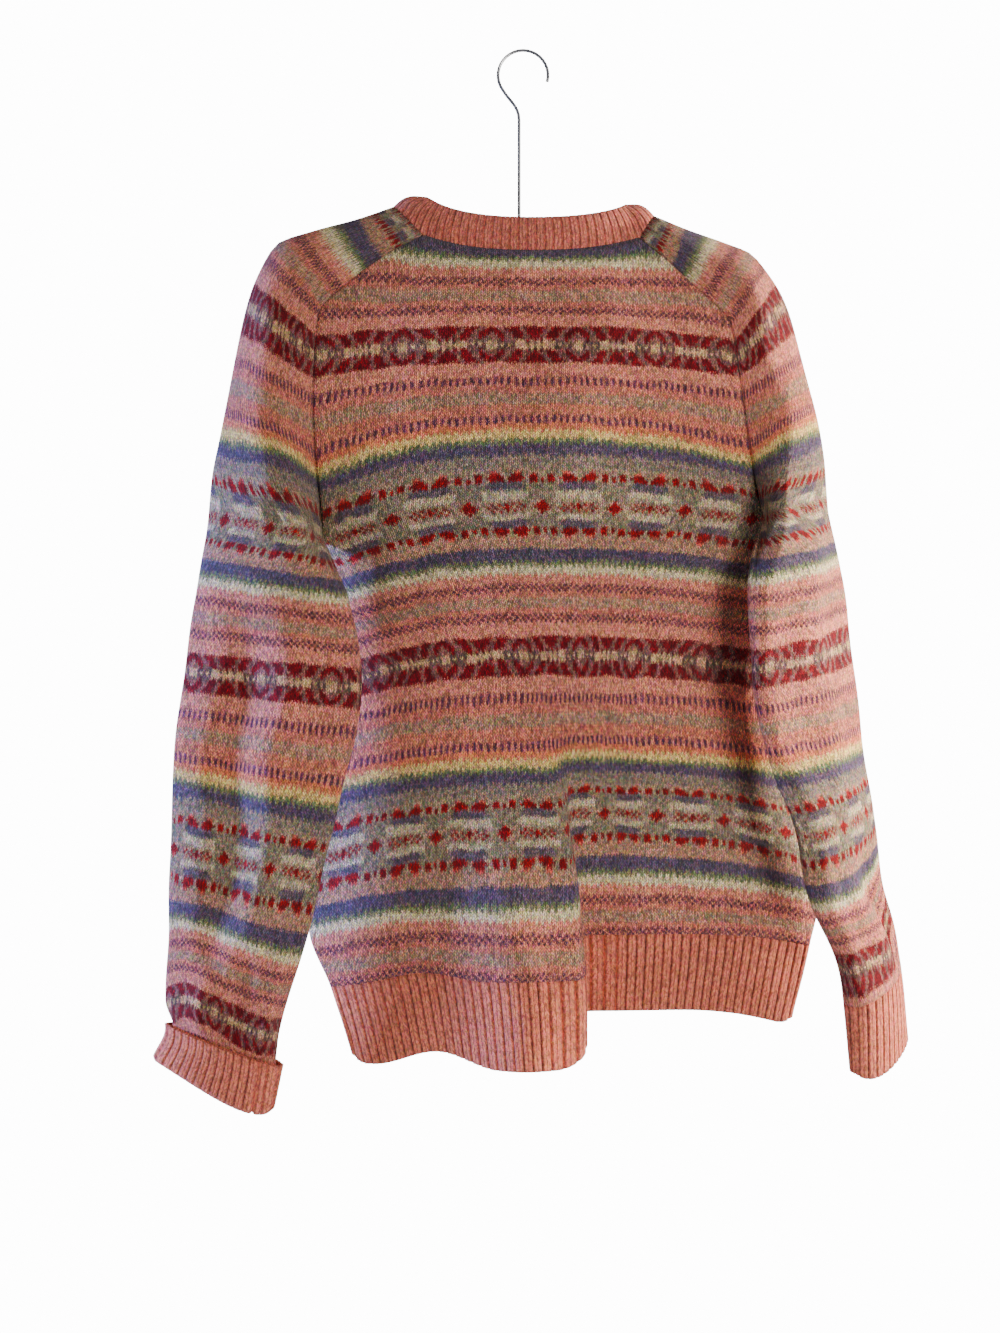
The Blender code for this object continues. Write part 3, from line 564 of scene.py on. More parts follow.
def sheet_mesh(name, grid, stitches, thickness, material, joined_from=None, flip=False):
    """A thin shell on a grid of points, with its map of stitches."""
    rows, columns = grid.shape[:2]
    index = np.arange(rows * columns).reshape(rows, columns)
    if joined_from is not None:
        index[joined_from:, -1] = index[joined_from:, 0]
    corners = ((slice(0, -1), slice(0, -1)), (slice(0, -1), slice(1, None)),
               (slice(1, None), slice(1, None)), (slice(1, None), slice(0, -1)))
    if flip:
        corners = corners[::-1]
    faces = np.stack([index[r, c].ravel() for r, c in corners], axis=1)
    map_corners = np.stack([stitches[r, c].reshape(-1, 2) for r, c in corners], axis=1)
    used, faces = np.unique(faces, return_inverse=True)
    faces = faces.reshape(-1, 4)
    data = bpy.data.meshes.new(name)
    data.from_pydata(grid.reshape(-1, 3)[used].tolist(), [], faces.tolist())
    layer = data.uv_layers.new(name="stitches")
    layer.data.foreach_set("uv", map_corners.astype(np.float32).ravel())
    data.materials.append(material)
    piece = bpy.data.objects.new(name, data)
    bpy.context.scene.collection.objects.link(piece)
    data.shade_smooth()
    shell = piece.modifiers.new("thickness", "SOLIDIFY")
    shell.thickness = thickness
    shell.offset = 0.0
    finish_piece(piece)
    return piece


def finish_piece(piece):
    """Applies its modifiers, as an operator on that one object."""
    bpy.ops.object.select_all(action="DESELECT")
    piece.select_set(True)
    bpy.context.view_layer.objects.active = piece
    for modifier in list(piece.modifiers):
        bpy.ops.object.modifier_apply(modifier=modifier.name)
    piece.select_set(False)


def seam_dip(row, place):
    """How deep the cloth is drawn in along the armhole seams."""
    near = np.exp(-(place / SEAM_WIDTH) ** 2) + np.exp(-((1 - place) / SEAM_WIDTH) ** 2)
    return SEAM_DIP * near * ease((ARMPIT_ROW - row) / 12)


def fold_over(grid, row, place):
    """Pushes the cloth on each side of the step over the other, so that the step hides behind the swell."""
    off = place - STEP_PLACE
    pinch = off * np.exp(-(off / FOLD_REACH) ** 2) * FOLD_OVER * ease((row - FOLD_ROWS[0][0]) / FOLD_GROWS)
    width = side_point("right", row, False)[..., 0] - side_point("left", row, False)[..., 0]
    grid[..., 0] -= pinch * width


def knit_panel(name, front, row_step, faces, material):
    """The back or the front, down to the hem's rib."""
    rows = np.linspace(0, HEM_SEAM_ROW, int(HEM_SEAM_ROW / row_step) + 1)
    row, place = net(rows, np.linspace(0, 1, faces + 1))
    grid = body_point(row, place, front)
    normals = outward(grid, None, (0, 1, 0) if front else (0, -1, 0))
    press = creases(FRONT_CREASES if front else BACK_CREASES, row, place, CREASED_PANEL)
    press += waver(row, place, 2.0 if front else 0.6)
    edge = ease(place / 0.05) * ease((1 - place) / 0.05) * ease(row / 8) * ease((HEM_SEAM_ROW - row) / 10)
    grid = grid + normals * (press * edge - seam_dip(row, place))[..., None]
    if front:
        dropped = FRONT_DROP_ROWS * np.maximum(1 - row / FRONT_DROP_END, 0) * (1 - abs(1 - 2 * place) ** 2.5)
        across, down = (place - 0.5) * FRONT_STITCHES, knitted_row(row + dropped)
    else:
        across, down = back_stitch(row, grid[..., 0]), knitted_row(row)
        fold_over(grid, row, place)
    return sheet_mesh(name, grid, np.stack((across, down), axis=-1), CLOTH_THICKNESS, material, flip=front)


def pucker(side, row, turn):
    """How many rows the lower sleeves' creases draw the pattern up."""
    if side == "left":
        return LEFT_PUCKER * ease((row - 250) / 55) * (bump(turn, 0.33, 0.15) - bump(turn, 0.52, 0.17))
    return RIGHT_PUCKER * ease((row - 252) / 45) * ease((turn - 0.27) / 0.09) * ease((0.8 - turn) / 0.3)


def knit_sleeve(side, row_step, faces, material):
    """A sleeve, open along the armhole and joined below the armpit."""
    below = np.linspace(ARMPIT_ROW, CUFF_SEAM_ROW, int((CUFF_SEAM_ROW - ARMPIT_ROW) / row_step) + 1)
    above = np.linspace(0, ARMPIT_ROW, int(ARMPIT_ROW / row_step) + 1)
    rows = np.concatenate((above[:-1], below))
    fork = len(above) - 1
    row, turn = net(rows, np.linspace(0, 1, faces + 1))
    grid = sleeve_point(side, row, turn)
    normals = outward(grid, fork, None)
    table = LEFT_SLEEVE_CREASES if side == "left" else RIGHT_SLEEVE_CREASES
    press = creases(table, row, turn, CREASED_SLEEVE)
    press += waver(row, turn, 1.3 if side == "left" else 4.2)
    edge = ease(row / 10) * ease((CUFF_SEAM_ROW - row) / 8)
    open_side = np.where(row < ARMPIT_ROW + 6, ease(turn / 0.06) * ease((1 - turn) / 0.06), 1.0)
    grid = grid + normals * (press * edge * open_side - seam_dip(row, turn))[..., None]
    grid[fork:, -1] = grid[fork:, 0]
    share = girth_share(grid)
    if side == "left":
        across = LEFT_STAR_STITCH - share * SLEEVE_STITCHES
    else:
        across = share * SLEEVE_STITCHES - RIGHT_STAR_STITCH
    down = knitted_row(row, SLEEVE_PATTERN_ROWS) + pucker(side, row, turn)
    return sheet_mesh(f"knit_sleeve_{side}", grid, np.stack((across, down), axis=-1), CLOTH_THICKNESS,
                      material, fork, flip=side == "left")


def rib_height(count):
    """The ribs' relief, from 0 in a groove to 1 on the knit stitches: count is in ribs across."""
    groove = 1 - ease(abs((count % 1) - 0.5) * 2 / 0.46)
    dip = 0.22 * np.exp(-((((count + 0.5) % 1) - 0.5) / 0.1) ** 2)
    return 1 - groove - dip


def rib_shell(name, grid, ribs, rows_down, material, joined, hint=None, flip=False, fade=1.0):
    """Ribbed knitting on a grid: ribs is how many lie across it, rows_down how many rows it has, and fade how
    much of the grooves' depth each row keeps."""
    normals = outward(grid, 0 if joined else None, hint)
    count = np.linspace(0, ribs, grid.shape[1])[None, :] * np.ones((len(grid), 1))
    grid = grid + normals * ((rib_height(count) - 1) * fade * GROOVE_DEPTH * MM)[..., None]
    down = np.linspace(0, rows_down, len(grid))[:, None] * np.ones((1, grid.shape[1]))
    stitches = np.stack((count * RIB_STITCHES, down), axis=-1)
    return sheet_mesh(name, grid, stitches, RIB_THICKNESS - GROOVE_DEPTH * MM * 0.6, material,
                      0 if joined else None, flip)


def knit_hem(name, front, ribs, row_faces, material):
    rows = np.linspace(HEM_SEAM_ROW, HEM_ROW, row_faces + 1)
    row, place = net(rows, np.linspace(0, 1, ribs * RIB_FACES + 1))
    grid = body_point(row, place, front)
    hint = (0, 1, 0) if front else (0, -1, 0)
    swing = HEM_SWING * np.sin(place * 23 + row / 9) * ease((row - HEM_SEAM_ROW) / 12)
    grid[..., 1] += swing if front else -swing
    low = ease((row - HEM_SEAM_ROW) / (HEM_ROW - HEM_SEAM_ROW))
    corner = np.maximum(1 - place / HEM_CORNER, 0) ** 2 + np.maximum(1 - (1 - place) / HEM_CORNER, 0) ** 2
    grid[..., 2] += HEM_CORNER_LIFT * corner * low
    if not front:
        near_fold = np.exp(-((place - FOLD_CORNER_PLACE) / FOLD_CORNER_REACH) ** 2)
        grid[..., 2] += FOLD_CORNER_LIFT * near_fold * low
        fold_over(grid, row, place)
    return rib_shell(name, grid, ribs, HEM_RIB_ROWS, material, False, hint, flip=front)


def evened(loop, reach):
    """A closed loop with its corners rounded off over this many points."""
    weights = np.exp(-(np.arange(-3 * reach, 3 * reach + 1) / reach) ** 2)
    weights /= weights.sum()
    return sum(weight * np.roll(loop, k - 3 * reach, axis=0) for k, weight in enumerate(weights))


def neck_seam(faces):
    """Even points round the neck, each with its share of the way from the neck's middle to a shoulder."""
    back, front, over = (np.arange(int(faces * part)) / int(faces * part)
                         for part in (NECK_BACK_SHARE, NECK_FRONT_SHARE, NECK_SLEEVE_SHARE))
    front = 1 - front
    top = np.zeros(1)
    seam = np.concatenate([stretch[0] for stretch in (
        body_point(*net(top, back)), sleeve_point("right", *net(top, over)),
        body_point(*net(top, front), True), sleeve_point("left", *net(top, 1 - over)))])
    raised = CORNER_SHARE + (1 - CORNER_SHARE) * np.sin(np.pi * over)
    share = np.concatenate((CORNER_SHARE * abs(1 - 2 * back) ** 3, raised,
                            CORNER_SHARE * abs(1 - 2 * front) ** 3, raised))
    closed = np.concatenate((seam, seam[:1]))
    run = np.concatenate(([0.0], np.cumsum(np.linalg.norm(np.diff(closed, axis=0), axis=1))))
    even = np.linspace(0, run[-1], faces + 1)[:-1]
    seam = np.stack([np.interp(even, run, closed[:, k]) for k in range(3)], axis=1)
    return seam, np.interp(even, run, np.append(share, share[0]))


def knit_neckband(ribs, material):
    """Rings from the neck seam to the band's free edge, which rolls a little."""
    seam, share = neck_seam(ribs * RIB_FACES)
    inward = (seam.mean(axis=0) - seam) * (1, 1, 0)
    inward /= np.linalg.norm(inward, axis=1, keepdims=True)
    rise = NECKBAND_RISE + (NECKBAND_RISE_ON_SHOULDER - NECKBAND_RISE) * share ** 3
    lean = NECKBAND_LEAN + (NECKBAND_LEAN_ON_SHOULDER - NECKBAND_LEAN) * share
    free = seam + inward * lean[:, None] + rise[:, None] * np.array((0, 0, 1))
    free = evened(free, NECK_EASE_FACES)
    t = np.linspace(0, 1, 15)[:, None, None]
    belly = np.sin(np.pi * t) * MM
    grid = seam + (free - seam) * t - inward * belly * 1.2
    grid[..., 2] += (NECKBAND_ROLL * share)[None, :] * belly[..., 0]
    grid = np.concatenate((grid, grid[:, :1]), axis=1)
    return rib_shell("knit_neckband", grid, ribs, NECK_RIB_ROWS, material, True, fade=NECK_RIB_FADE)


def even_turns(side, row, faces):
    """Turns round a sleeve that lie at equal distances along the cloth."""
    fine = np.linspace(0, 1, 4 * faces + 1)
    share = girth_share(sleeve_point(side, *net([row], fine)))[0]
    return np.interp(np.linspace(0, 1, faces + 1), share, fine)


def knit_turned_cuff(ribs, material):
    """Down the inner layer, round the fold and back up outside the end of the sleeve."""
    turns = even_turns("left", TURN_DOWN[-1], ribs * RIB_FACES)
    inner = sleeve_point("left", *net(np.linspace(TURN_DOWN[0], TURN_DOWN[-1], 9), turns))
    keys = [row for row, _ in TURN_UP]
    offsets = [offset for _, offset in TURN_UP]
    steps = np.linspace(0, len(keys) - 1, 21)
    rows = np.interp(steps, range(len(keys)), keys)
    out = np.interp(steps, range(len(keys)), offsets)
    outer = sleeve_point("left", *net(rows, turns))
    outer = outer + outward(outer, 0, None) * out[:, None, None] * MM
    seam = CUFF_SEAM_DEPTH * bump(turns, CUFF_SEAM_TURN, CUFF_SEAM_WIDTH)
    outer -= outward(outer, 0, None) * seam[None, :, None]
    grid = np.concatenate((inner, outer))
    grid[:, -1] = grid[:, 0]
    from_fold = abs(np.arange(len(grid)) - len(inner)) / 6
    fade = (0.25 + 0.75 * ease(from_fold))[:, None]
    return rib_shell("knit_cuff_left", grid, ribs, LEFT_CUFF_RIB_ROWS, material, True, flip=True, fade=fade)


def knit_right_cuff(ribs, material):
    turns = even_turns("right", CUFF_ROW, ribs * RIB_FACES)
    grid = sleeve_point("right", *net(np.linspace(CUFF_SEAM_ROW, CUFF_ROW, 17), turns))
    grid[:, -1] = grid[:, 0]
    return rib_shell("knit_cuff_right", grid, ribs, RIGHT_CUFF_RIB_ROWS, material, True)


# ---------------------------------------------------------------- shader helpers

def linear(colour):
    """sRGB from 0 to 255 as a shader colour."""
    shares = np.array(colour) / 255
    values = np.where(shares <= 0.04045, shares / 12.92, ((shares + 0.055) / 1.055) ** 2.4)
    return (*values.tolist(), 1.0)


def dyed(colour, strength=1.06):
    """A wool colour, deepened away from its own grey."""
    shares = np.array(linear(colour)[:3])
    grey = shares.mean()
    return (*np.clip(grey + (shares - grey) * strength, 0.002, 0.95).tolist(), 1.0)


class Graph:
    """Adds and links nodes in one tree."""

    def __init__(self, tree):
        self.tree = tree

    def node(self, kind, **settings):
        made = self.tree.nodes.new(kind)
        for name, value in settings.items():
            setattr(made, name, value)
        return made

    def feed(self, socket, value):
        if isinstance(value, bpy.types.NodeSocket):
            self.tree.links.new(value, socket)
        else:
            socket.default_value = value

    def math(self, operation, first, second=0.0, third=0.0):
        made = self.node("ShaderNodeMath", operation=operation)
        for socket, value in zip(made.inputs, (first, second, third)):
            self.feed(socket, value)
        return made.outputs[0]

    def mix(self, share, first, second, blend="MIX"):
        made = self.node("ShaderNodeMix", data_type="RGBA", blend_type=blend)
        self.feed(made.inputs[0], share)
        self.feed(made.inputs[6], first)
        self.feed(made.inputs[7], second)
        return made.outputs[2]

    def smooth(self, value, low, high):
        """0 below low, 1 above high."""
        made = self.node("ShaderNodeMapRange", interpolation_type="SMOOTHSTEP")
        self.feed(made.inputs[0], value)
        self.feed(made.inputs[1], low)
        self.feed(made.inputs[2], high)
        return made.outputs[0]

    def noise(self, vector, scale, detail=2.0, roughness=0.5):
        made = self.node("ShaderNodeTexNoise")
        self.feed(made.inputs["Vector"], vector)
        made.inputs["Scale"].default_value = scale
        made.inputs["Detail"].default_value = detail
        made.inputs["Roughness"].default_value = roughness
        return made

    def split(self, value, kind="Color"):
        """The red, green and blue of a colour, or the X, Y and Z of a vector."""
        made = self.node("ShaderNodeSeparateColor" if kind == "Color" else "ShaderNodeSeparateXYZ")
        self.feed(made.inputs[0], value)
        return made.outputs

    def shaded(self, colour, shade):
        """A colour times a plain value."""
        grey = self.node("ShaderNodeCombineColor")
        for socket in grey.inputs[:3]:
            self.feed(socket, shade)
        return self.mix(1.0, colour, grey.outputs[0], "MULTIPLY")

    def strayed(self, value, chance, amount):
        """A value moved either way by a noise from 0 to 1."""
        return self.math("MULTIPLY_ADD", self.math("SUBTRACT", chance, 0.5), amount, value)

    def raise_surface(self, shader, height, strength, distance):
        raised = self.node("ShaderNodeBump")
        raised.inputs["Strength"].default_value = strength
        raised.inputs["Distance"].default_value = distance
        self.feed(raised.inputs["Height"], height)
        self.feed(shader.inputs["Normal"], raised.outputs[0])

    def steps(self, row, stops):
        """A stepped ramp: stops are (first row, colour)."""
        made = self.node("ShaderNodeValToRGB")
        ramp = made.color_ramp
        ramp.interpolation = "CONSTANT"
        place = self.math("DIVIDE", self.math("ADD", row, 0.5), RAMP_CELLS)
        self.feed(made.inputs[0], place)
        while len(ramp.elements) > 1:
            ramp.elements.remove(ramp.elements[-1])
        for i, (first, colour) in enumerate(stops):
            spot = 0.0 if i == 0 else (first - 0.5) / RAMP_CELLS
            element = ramp.elements[0] if i == 0 else ramp.elements.new(spot)
            element.position = spot
            element.color = colour
        return made.outputs[0]


def new_group(name, inputs, outputs):
    tree = bpy.data.node_groups.new(name, "ShaderNodeTree")
    kinds = {"v": "NodeSocketVector", "f": "NodeSocketFloat", "c": "NodeSocketColor"}
    for title, kind in inputs:
        tree.interface.new_socket(title, in_out="INPUT", socket_type=kinds[kind])
    for title, kind in outputs:
        tree.interface.new_socket(title, in_out="OUTPUT", socket_type=kinds[kind])
    graph = Graph(tree)
    return graph, graph.node("NodeGroupInput").outputs, graph.node("NodeGroupOutput").inputs


def chart_rows():
    """For each row of the repeat: the two yarns' colours and the motif as (code, half repeat, shift)."""
    rows = []
    for count, behind, figure, motif in BANDS:
        repeat, shift, lines = MOTIFS[motif]
        for k in range(count):
            line = lines[k % len(lines)]
            code = sum(2 ** place for place, mark in enumerate(line) if mark == "x")
            numbers = (code / MOST_CODE, repeat / 2 / MOST_HALF, shift / (2 * MOST_HALF), 1.0)
            rows.append((dyed(WOOL[behind]), dyed(WOOL[figure]), numbers))
    return rows


def chart_lookup(graph, row, column):
    """Ramps, one for each part of the chart, and switches between them."""
    rows = chart_rows()
    picked = None
    for first in range(0, len(rows), RAMP_ROWS):
        stops = []
        for k in range(first, min(first + RAMP_ROWS, len(rows))):
            colour = rows[k][column]
            if not stops or stops[-1][1] != colour:
                stops.append((k - first, colour))
        part = graph.steps(graph.math("SUBTRACT", row, float(first)), stops)
        picked = graph.mix(graph.math("GREATER_THAN", row, first - 0.5), picked, part) if picked else part
    return picked


def stitch_shape(graph, across, down, height=1.5):
    """The rounded V of a knit stitch: its row, its column, its relief from 0 to 1, and which leg it is."""
    from_middle = graph.math("SUBTRACT", across, graph.math("ROUND", across))
    off = graph.math("MULTIPLY", graph.math("ABSOLUTE", from_middle), 2.0)
    lift = graph.math("MULTIPLY", graph.math("SUBTRACT", 1.0, off), height)
    level = graph.math("ADD", graph.math("SUBTRACT", down, lift), height / 2)
    row = graph.math("FLOOR", level)
    in_row = graph.math("SUBTRACT", level, row)
    leg = graph.math("SINE", graph.math("MULTIPLY", off, math.pi))
    end = graph.math("SINE", graph.math("MULTIPLY", in_row, math.pi))
    relief = graph.math("MULTIPLY", graph.math("POWER", leg, 0.7), graph.math("POWER", end, 0.6))
    return row, graph.math("ROUND", across), relief, graph.math("FLOOR", graph.math("MULTIPLY", across, 2.0))


def leg_tones(graph, leg, row):
    """Painted light: a chance colour for each leg of each stitch, and a chance value that paints the leg
    lighter or darker as wool takes the light.
    """
    spot = graph.node("ShaderNodeCombineXYZ")
    graph.feed(spot.inputs[0], leg)
    graph.feed(spot.inputs[1], row)
    chance = graph.node("ShaderNodeTexWhiteNoise", noise_dimensions="2D")
    graph.feed(chance.inputs["Vector"], spot.outputs[0])
    return chance.outputs["Color"], chance.outputs["Value"]


def heather(graph, where, colour, share):
    """Flecks of other dyes carded into the yarn."""
    for scale, part in ((1300.0, 1.0), (520.0, 0.7)):
        flecks = graph.node("ShaderNodeTexVoronoi")
        graph.feed(flecks.inputs["Vector"], where)
        flecks.inputs["Scale"].default_value = scale
        colour = graph.mix(share * part, colour, flecks.outputs["Color"], "OVERLAY")
    return colour


def fibre_noise(graph, where):
    """Fine wool fibres and larger fading, as values around 1."""
    fine = graph.noise(where, 1900.0, 2.0, 0.7).outputs["Fac"]
    stitch = graph.noise(where, 480.0, 1.0, 0.5).outputs["Fac"]
    broad = graph.noise(where, 14.0, 3.0, 0.6).outputs["Fac"]
    total = graph.math("MULTIPLY_ADD", fine, 2.8, -0.35)
    total = graph.math("MULTIPLY", total, graph.math("MULTIPLY_ADD", stitch, 1.1, 0.45))
    return graph.math("MULTIPLY", total, graph.math("MULTIPLY_ADD", broad, 0.5, 0.75))


def fair_isle_group():
    """Stranded knitting in the repeat of the chart."""
    graph, given, made = new_group("fair_isle_knitting", (("Stitches", "v"), ("Place", "v")),
                                   (("Color", "c"), ("Height", "f")))
    across, down, _ = graph.split(given["Stitches"], "Vector")
    sways = graph.split(graph.noise(given["Place"], 60.0, 1.0, 0.5).outputs["Color"])
    felt = graph.split(graph.noise(given["Place"], 1500.0, 1.0, 0.5).outputs["Color"])
    across, down = graph.strayed(across, sways[0], 1.6), graph.strayed(down, sways[1], 2.4)
    tone_row, _, relief, leg = stitch_shape(graph, across, down, 1.0)
    tone, light = leg_tones(graph, leg, tone_row)
    across, down = graph.strayed(across, felt[0], 1.5), graph.strayed(down, felt[1], 2.25)
    row, column, _, _ = stitch_shape(graph, across, down, 1.1)
    row = graph.math("FLOORED_MODULO", row, float(len(chart_rows())))
    behind, figure, numbers = (chart_lookup(graph, row, k) for k in range(3))
    code, half, shift = (graph.math("ROUND", graph.math("MULTIPLY", number, float(most)))
                         for number, most in zip(graph.split(numbers), (MOST_CODE, MOST_HALF, 2 * MOST_HALF)))
    cell = graph.math("ROUND", graph.math("PINGPONG", graph.math("SUBTRACT", column, shift), half))
    digits = graph.math("FLOOR", graph.math("ADD", graph.math(
        "DIVIDE", code, graph.math("POWER", 2.0, cell)), 0.001))
    figured = graph.math("FLOORED_MODULO", digits, 2.0)
    colour = graph.mix(figured, behind, figure)
    colour = graph.mix(0.18, colour, tone, "OVERLAY")
    colour = heather(graph, given["Place"], colour, 0.30)
    # Painted light and shade: each stitch leg is painted lighter or darker at random as if it caught the
    # light, times the fine fibre noise, and the colour is darkened as painted shade in the gaps between
    # stitches, where the relief is low.
    lit = graph.math("MULTIPLY_ADD", light, 0.85, 0.55)
    fibres_and_leg_light = graph.math("MULTIPLY", fibre_noise(graph, given["Place"]), lit)
    shade = graph.math("MULTIPLY", fibres_and_leg_light, graph.math("MULTIPLY_ADD", relief, 1.45, 0.2))
    graph.feed(made["Color"], graph.shaded(colour, shade))
    fuzz = graph.noise(given["Place"], 1100.0, 2.0, 0.6).outputs["Fac"]
    graph.feed(made["Height"], graph.math("MULTIPLY_ADD", fuzz, 0.55, relief))
    return graph.tree


def ribbing_group():
    """Two knit stitches and a purl one, in one heathered yarn, with painted light on the knit legs and
    painted shade in the purl grooves.
    """
    graph, given, made = new_group(
        "ribbing", (("Stitches", "v"), ("Place", "v"), ("Yarn", "c"), ("Deep", "c")),
        (("Color", "c"), ("Height", "f")))
    straight, level, _ = graph.split(given["Stitches"], "Vector")
    felt = graph.split(graph.noise(given["Place"], 600.0, 2.0, 0.6).outputs["Color"])
    across, down = graph.strayed(straight, felt[0], 0.35), graph.strayed(level, felt[1], 0.6)
    share = graph.math("FRACT", graph.math("DIVIDE", straight, float(RIB_STITCHES)))
    off_groove = graph.math("MULTIPLY", graph.math("ABSOLUTE", graph.math("SUBTRACT", share, 0.5)), 2.0)
    groove = graph.math("SUBTRACT", 1.0, graph.smooth(off_groove, 0.05, 0.46))
    row, _, relief, side = stitch_shape(graph, graph.math("ADD", across, 1.0), down, 1.6)
    tone, light = leg_tones(graph, side, row)
    twice = graph.math("PINGPONG", graph.math("MULTIPLY", across, 2.0), 1.0)
    leg = graph.smooth(twice, 0.25, 0.8)
    # Painted light: each stitch leg is painted lighter or darker at random as it catches the light, times the
    # fine fibre noise.
    leg_light = graph.math("MULTIPLY_ADD", light, 0.6, 0.7)
    fibres_and_leg_light = graph.math("MULTIPLY", fibre_noise(graph, given["Place"]), leg_light)
    # Painted light and shade: a painted highlight down the middle of each knit leg, and painted shade between
    # stitches where the relief is low.
    lit = graph.math("MULTIPLY_ADD", relief, 0.3, graph.math("MULTIPLY_ADD", leg, 0.42, 0.62))
    shade = graph.math("MULTIPLY", fibres_and_leg_light, lit)
    # Painted shade: the purl grooves take the darker groove colour, as if they fell in shadow.
    colour = graph.mix(graph.math("MULTIPLY", groove, 0.85), given["Yarn"], given["Deep"])
    colour = heather(graph, given["Place"], graph.mix(0.15, colour, tone, "OVERLAY"), 0.2)
    graph.feed(made["Color"], graph.shaded(colour, shade))
    graph.feed(made["Height"], graph.math("MULTIPLY", relief, graph.math("SUBTRACT", 1.0, groove)))
    return graph.tree


def group_of(name, build):
    return bpy.data.node_groups.get(name) or build()


def wool_material(name, group, colours=(), relief=0.7):
    """Matt wool from one of the knitting groups."""
    found = bpy.data.materials.get(name)
    if found:
        return found
    material = bpy.data.materials.new(name)
    material.use_nodes = True
    graph = Graph(material.node_tree)
    shader = material.node_tree.nodes["Principled BSDF"]
    knitting = graph.node("ShaderNodeGroup", node_tree=group)
    stitches = graph.node("ShaderNodeUVMap", uv_map="stitches")
    graph.feed(knitting.inputs["Stitches"], stitches.outputs[0])
    place = graph.node("ShaderNodeTexCoord")
    graph.feed(knitting.inputs["Place"], place.outputs["Object"])
    for socket, colour in colours:
        knitting.inputs[socket].default_value = dyed(colour)
    graph.feed(shader.inputs["Base Color"], knitting.outputs["Color"])
    graph.raise_surface(shader, knitting.outputs["Height"], relief, 0.7 * MM)
    shader.inputs["Roughness"].default_value = 0.95
    shader.inputs["Specular IOR Level"].default_value = 0.08
    shader.inputs["Sheen Weight"].default_value = 0.12
    shader.inputs["Sheen Roughness"].default_value = 0.6
    shader.inputs["Sheen Tint"].default_value = (1.0, 0.93, 0.88, 1.0)
    return material


def knit_material():
    return wool_material("fair_isle_wool", group_of("fair_isle_knitting", fair_isle_group))


# The second colour is painted shade for the ribs' grooves.
def rib_material(name, yarn, groove_shade):
    return wool_material(name, group_of("ribbing", ribbing_group), (("Yarn", yarn), ("Deep", groove_shade)), 0.6)


def smooth_material(name, colour, roughness, metallic, scale, relief):
    """Paint, drawn wire or the floor's finish, with fine uneven wear in colour, gloss and surface."""
    material = bpy.data.materials.new(name)
    material.use_nodes = True
    graph = Graph(material.node_tree)
    shader = material.node_tree.nodes["Principled BSDF"]
    place = graph.node("ShaderNodeTexCoord").outputs["Object"]
    grain = graph.noise(place, scale, 4.0, 0.6).outputs["Fac"]
    broad = graph.noise(place, scale / 12, 2.0, 0.5).outputs["Fac"]
    dark = tuple(part * 0.72 for part in linear(colour)[:3]) + (1.0,)
    graph.feed(shader.inputs["Base Color"], graph.mix(graph.smooth(broad, 0.35, 0.7), dark, linear(colour)))
    graph.feed(shader.inputs["Roughness"], graph.math("MULTIPLY_ADD", grain, 0.3, roughness - 0.15))
    shader.inputs["Metallic"].default_value = metallic
    graph.raise_surface(shader, grain, relief, 0.1 * MM)
    return material


# ---------------------------------------------------------------- fuzz

FUZZ_PIECES = ("knit_back", "knit_front", "knit_sleeve_left", "knit_sleeve_right", "knit_neckband",
               "knit_hem_back", "knit_hem_front", "knit_cuff_left", "knit_cuff_right")
WOOL_AREA = 1.55                # square metres of wool faces, inside and out, that the count is for
SIDE_FUZZ = 2.2                 # how much closer the fibres stand where the cloth turns sideways


def read_faces(data, field, width):
    values = np.empty(len(data.polygons) * width, np.float32)
    data.polygons.foreach_get(field, values)
    return values.reshape(-1, width) if width > 1 else values


def fuzz_roots(chance, count):
    """Places on the pieces' faces and the ways out of them, closer where the cloth turns sideways."""
    spots, ways = [], []
    for name in FUZZ_PIECES:
        data = bpy.data.objects[name].data
        centres, normals = read_faces(data, "center", 3), read_faces(data, "normal", 3)
        areas = read_faces(data, "area", 1)
        weight = areas * (1.0 + SIDE_FUZZ * (1 - abs(normals[:, 1])) ** 2)
        share = int(count * areas.sum() / WOOL_AREA)
        picked = chance.choice(len(areas), share, p=weight / weight.sum())
        spots.append(centres[picked])
        ways.append(normals[picked])
    return np.concatenate(spots), np.concatenate(ways)


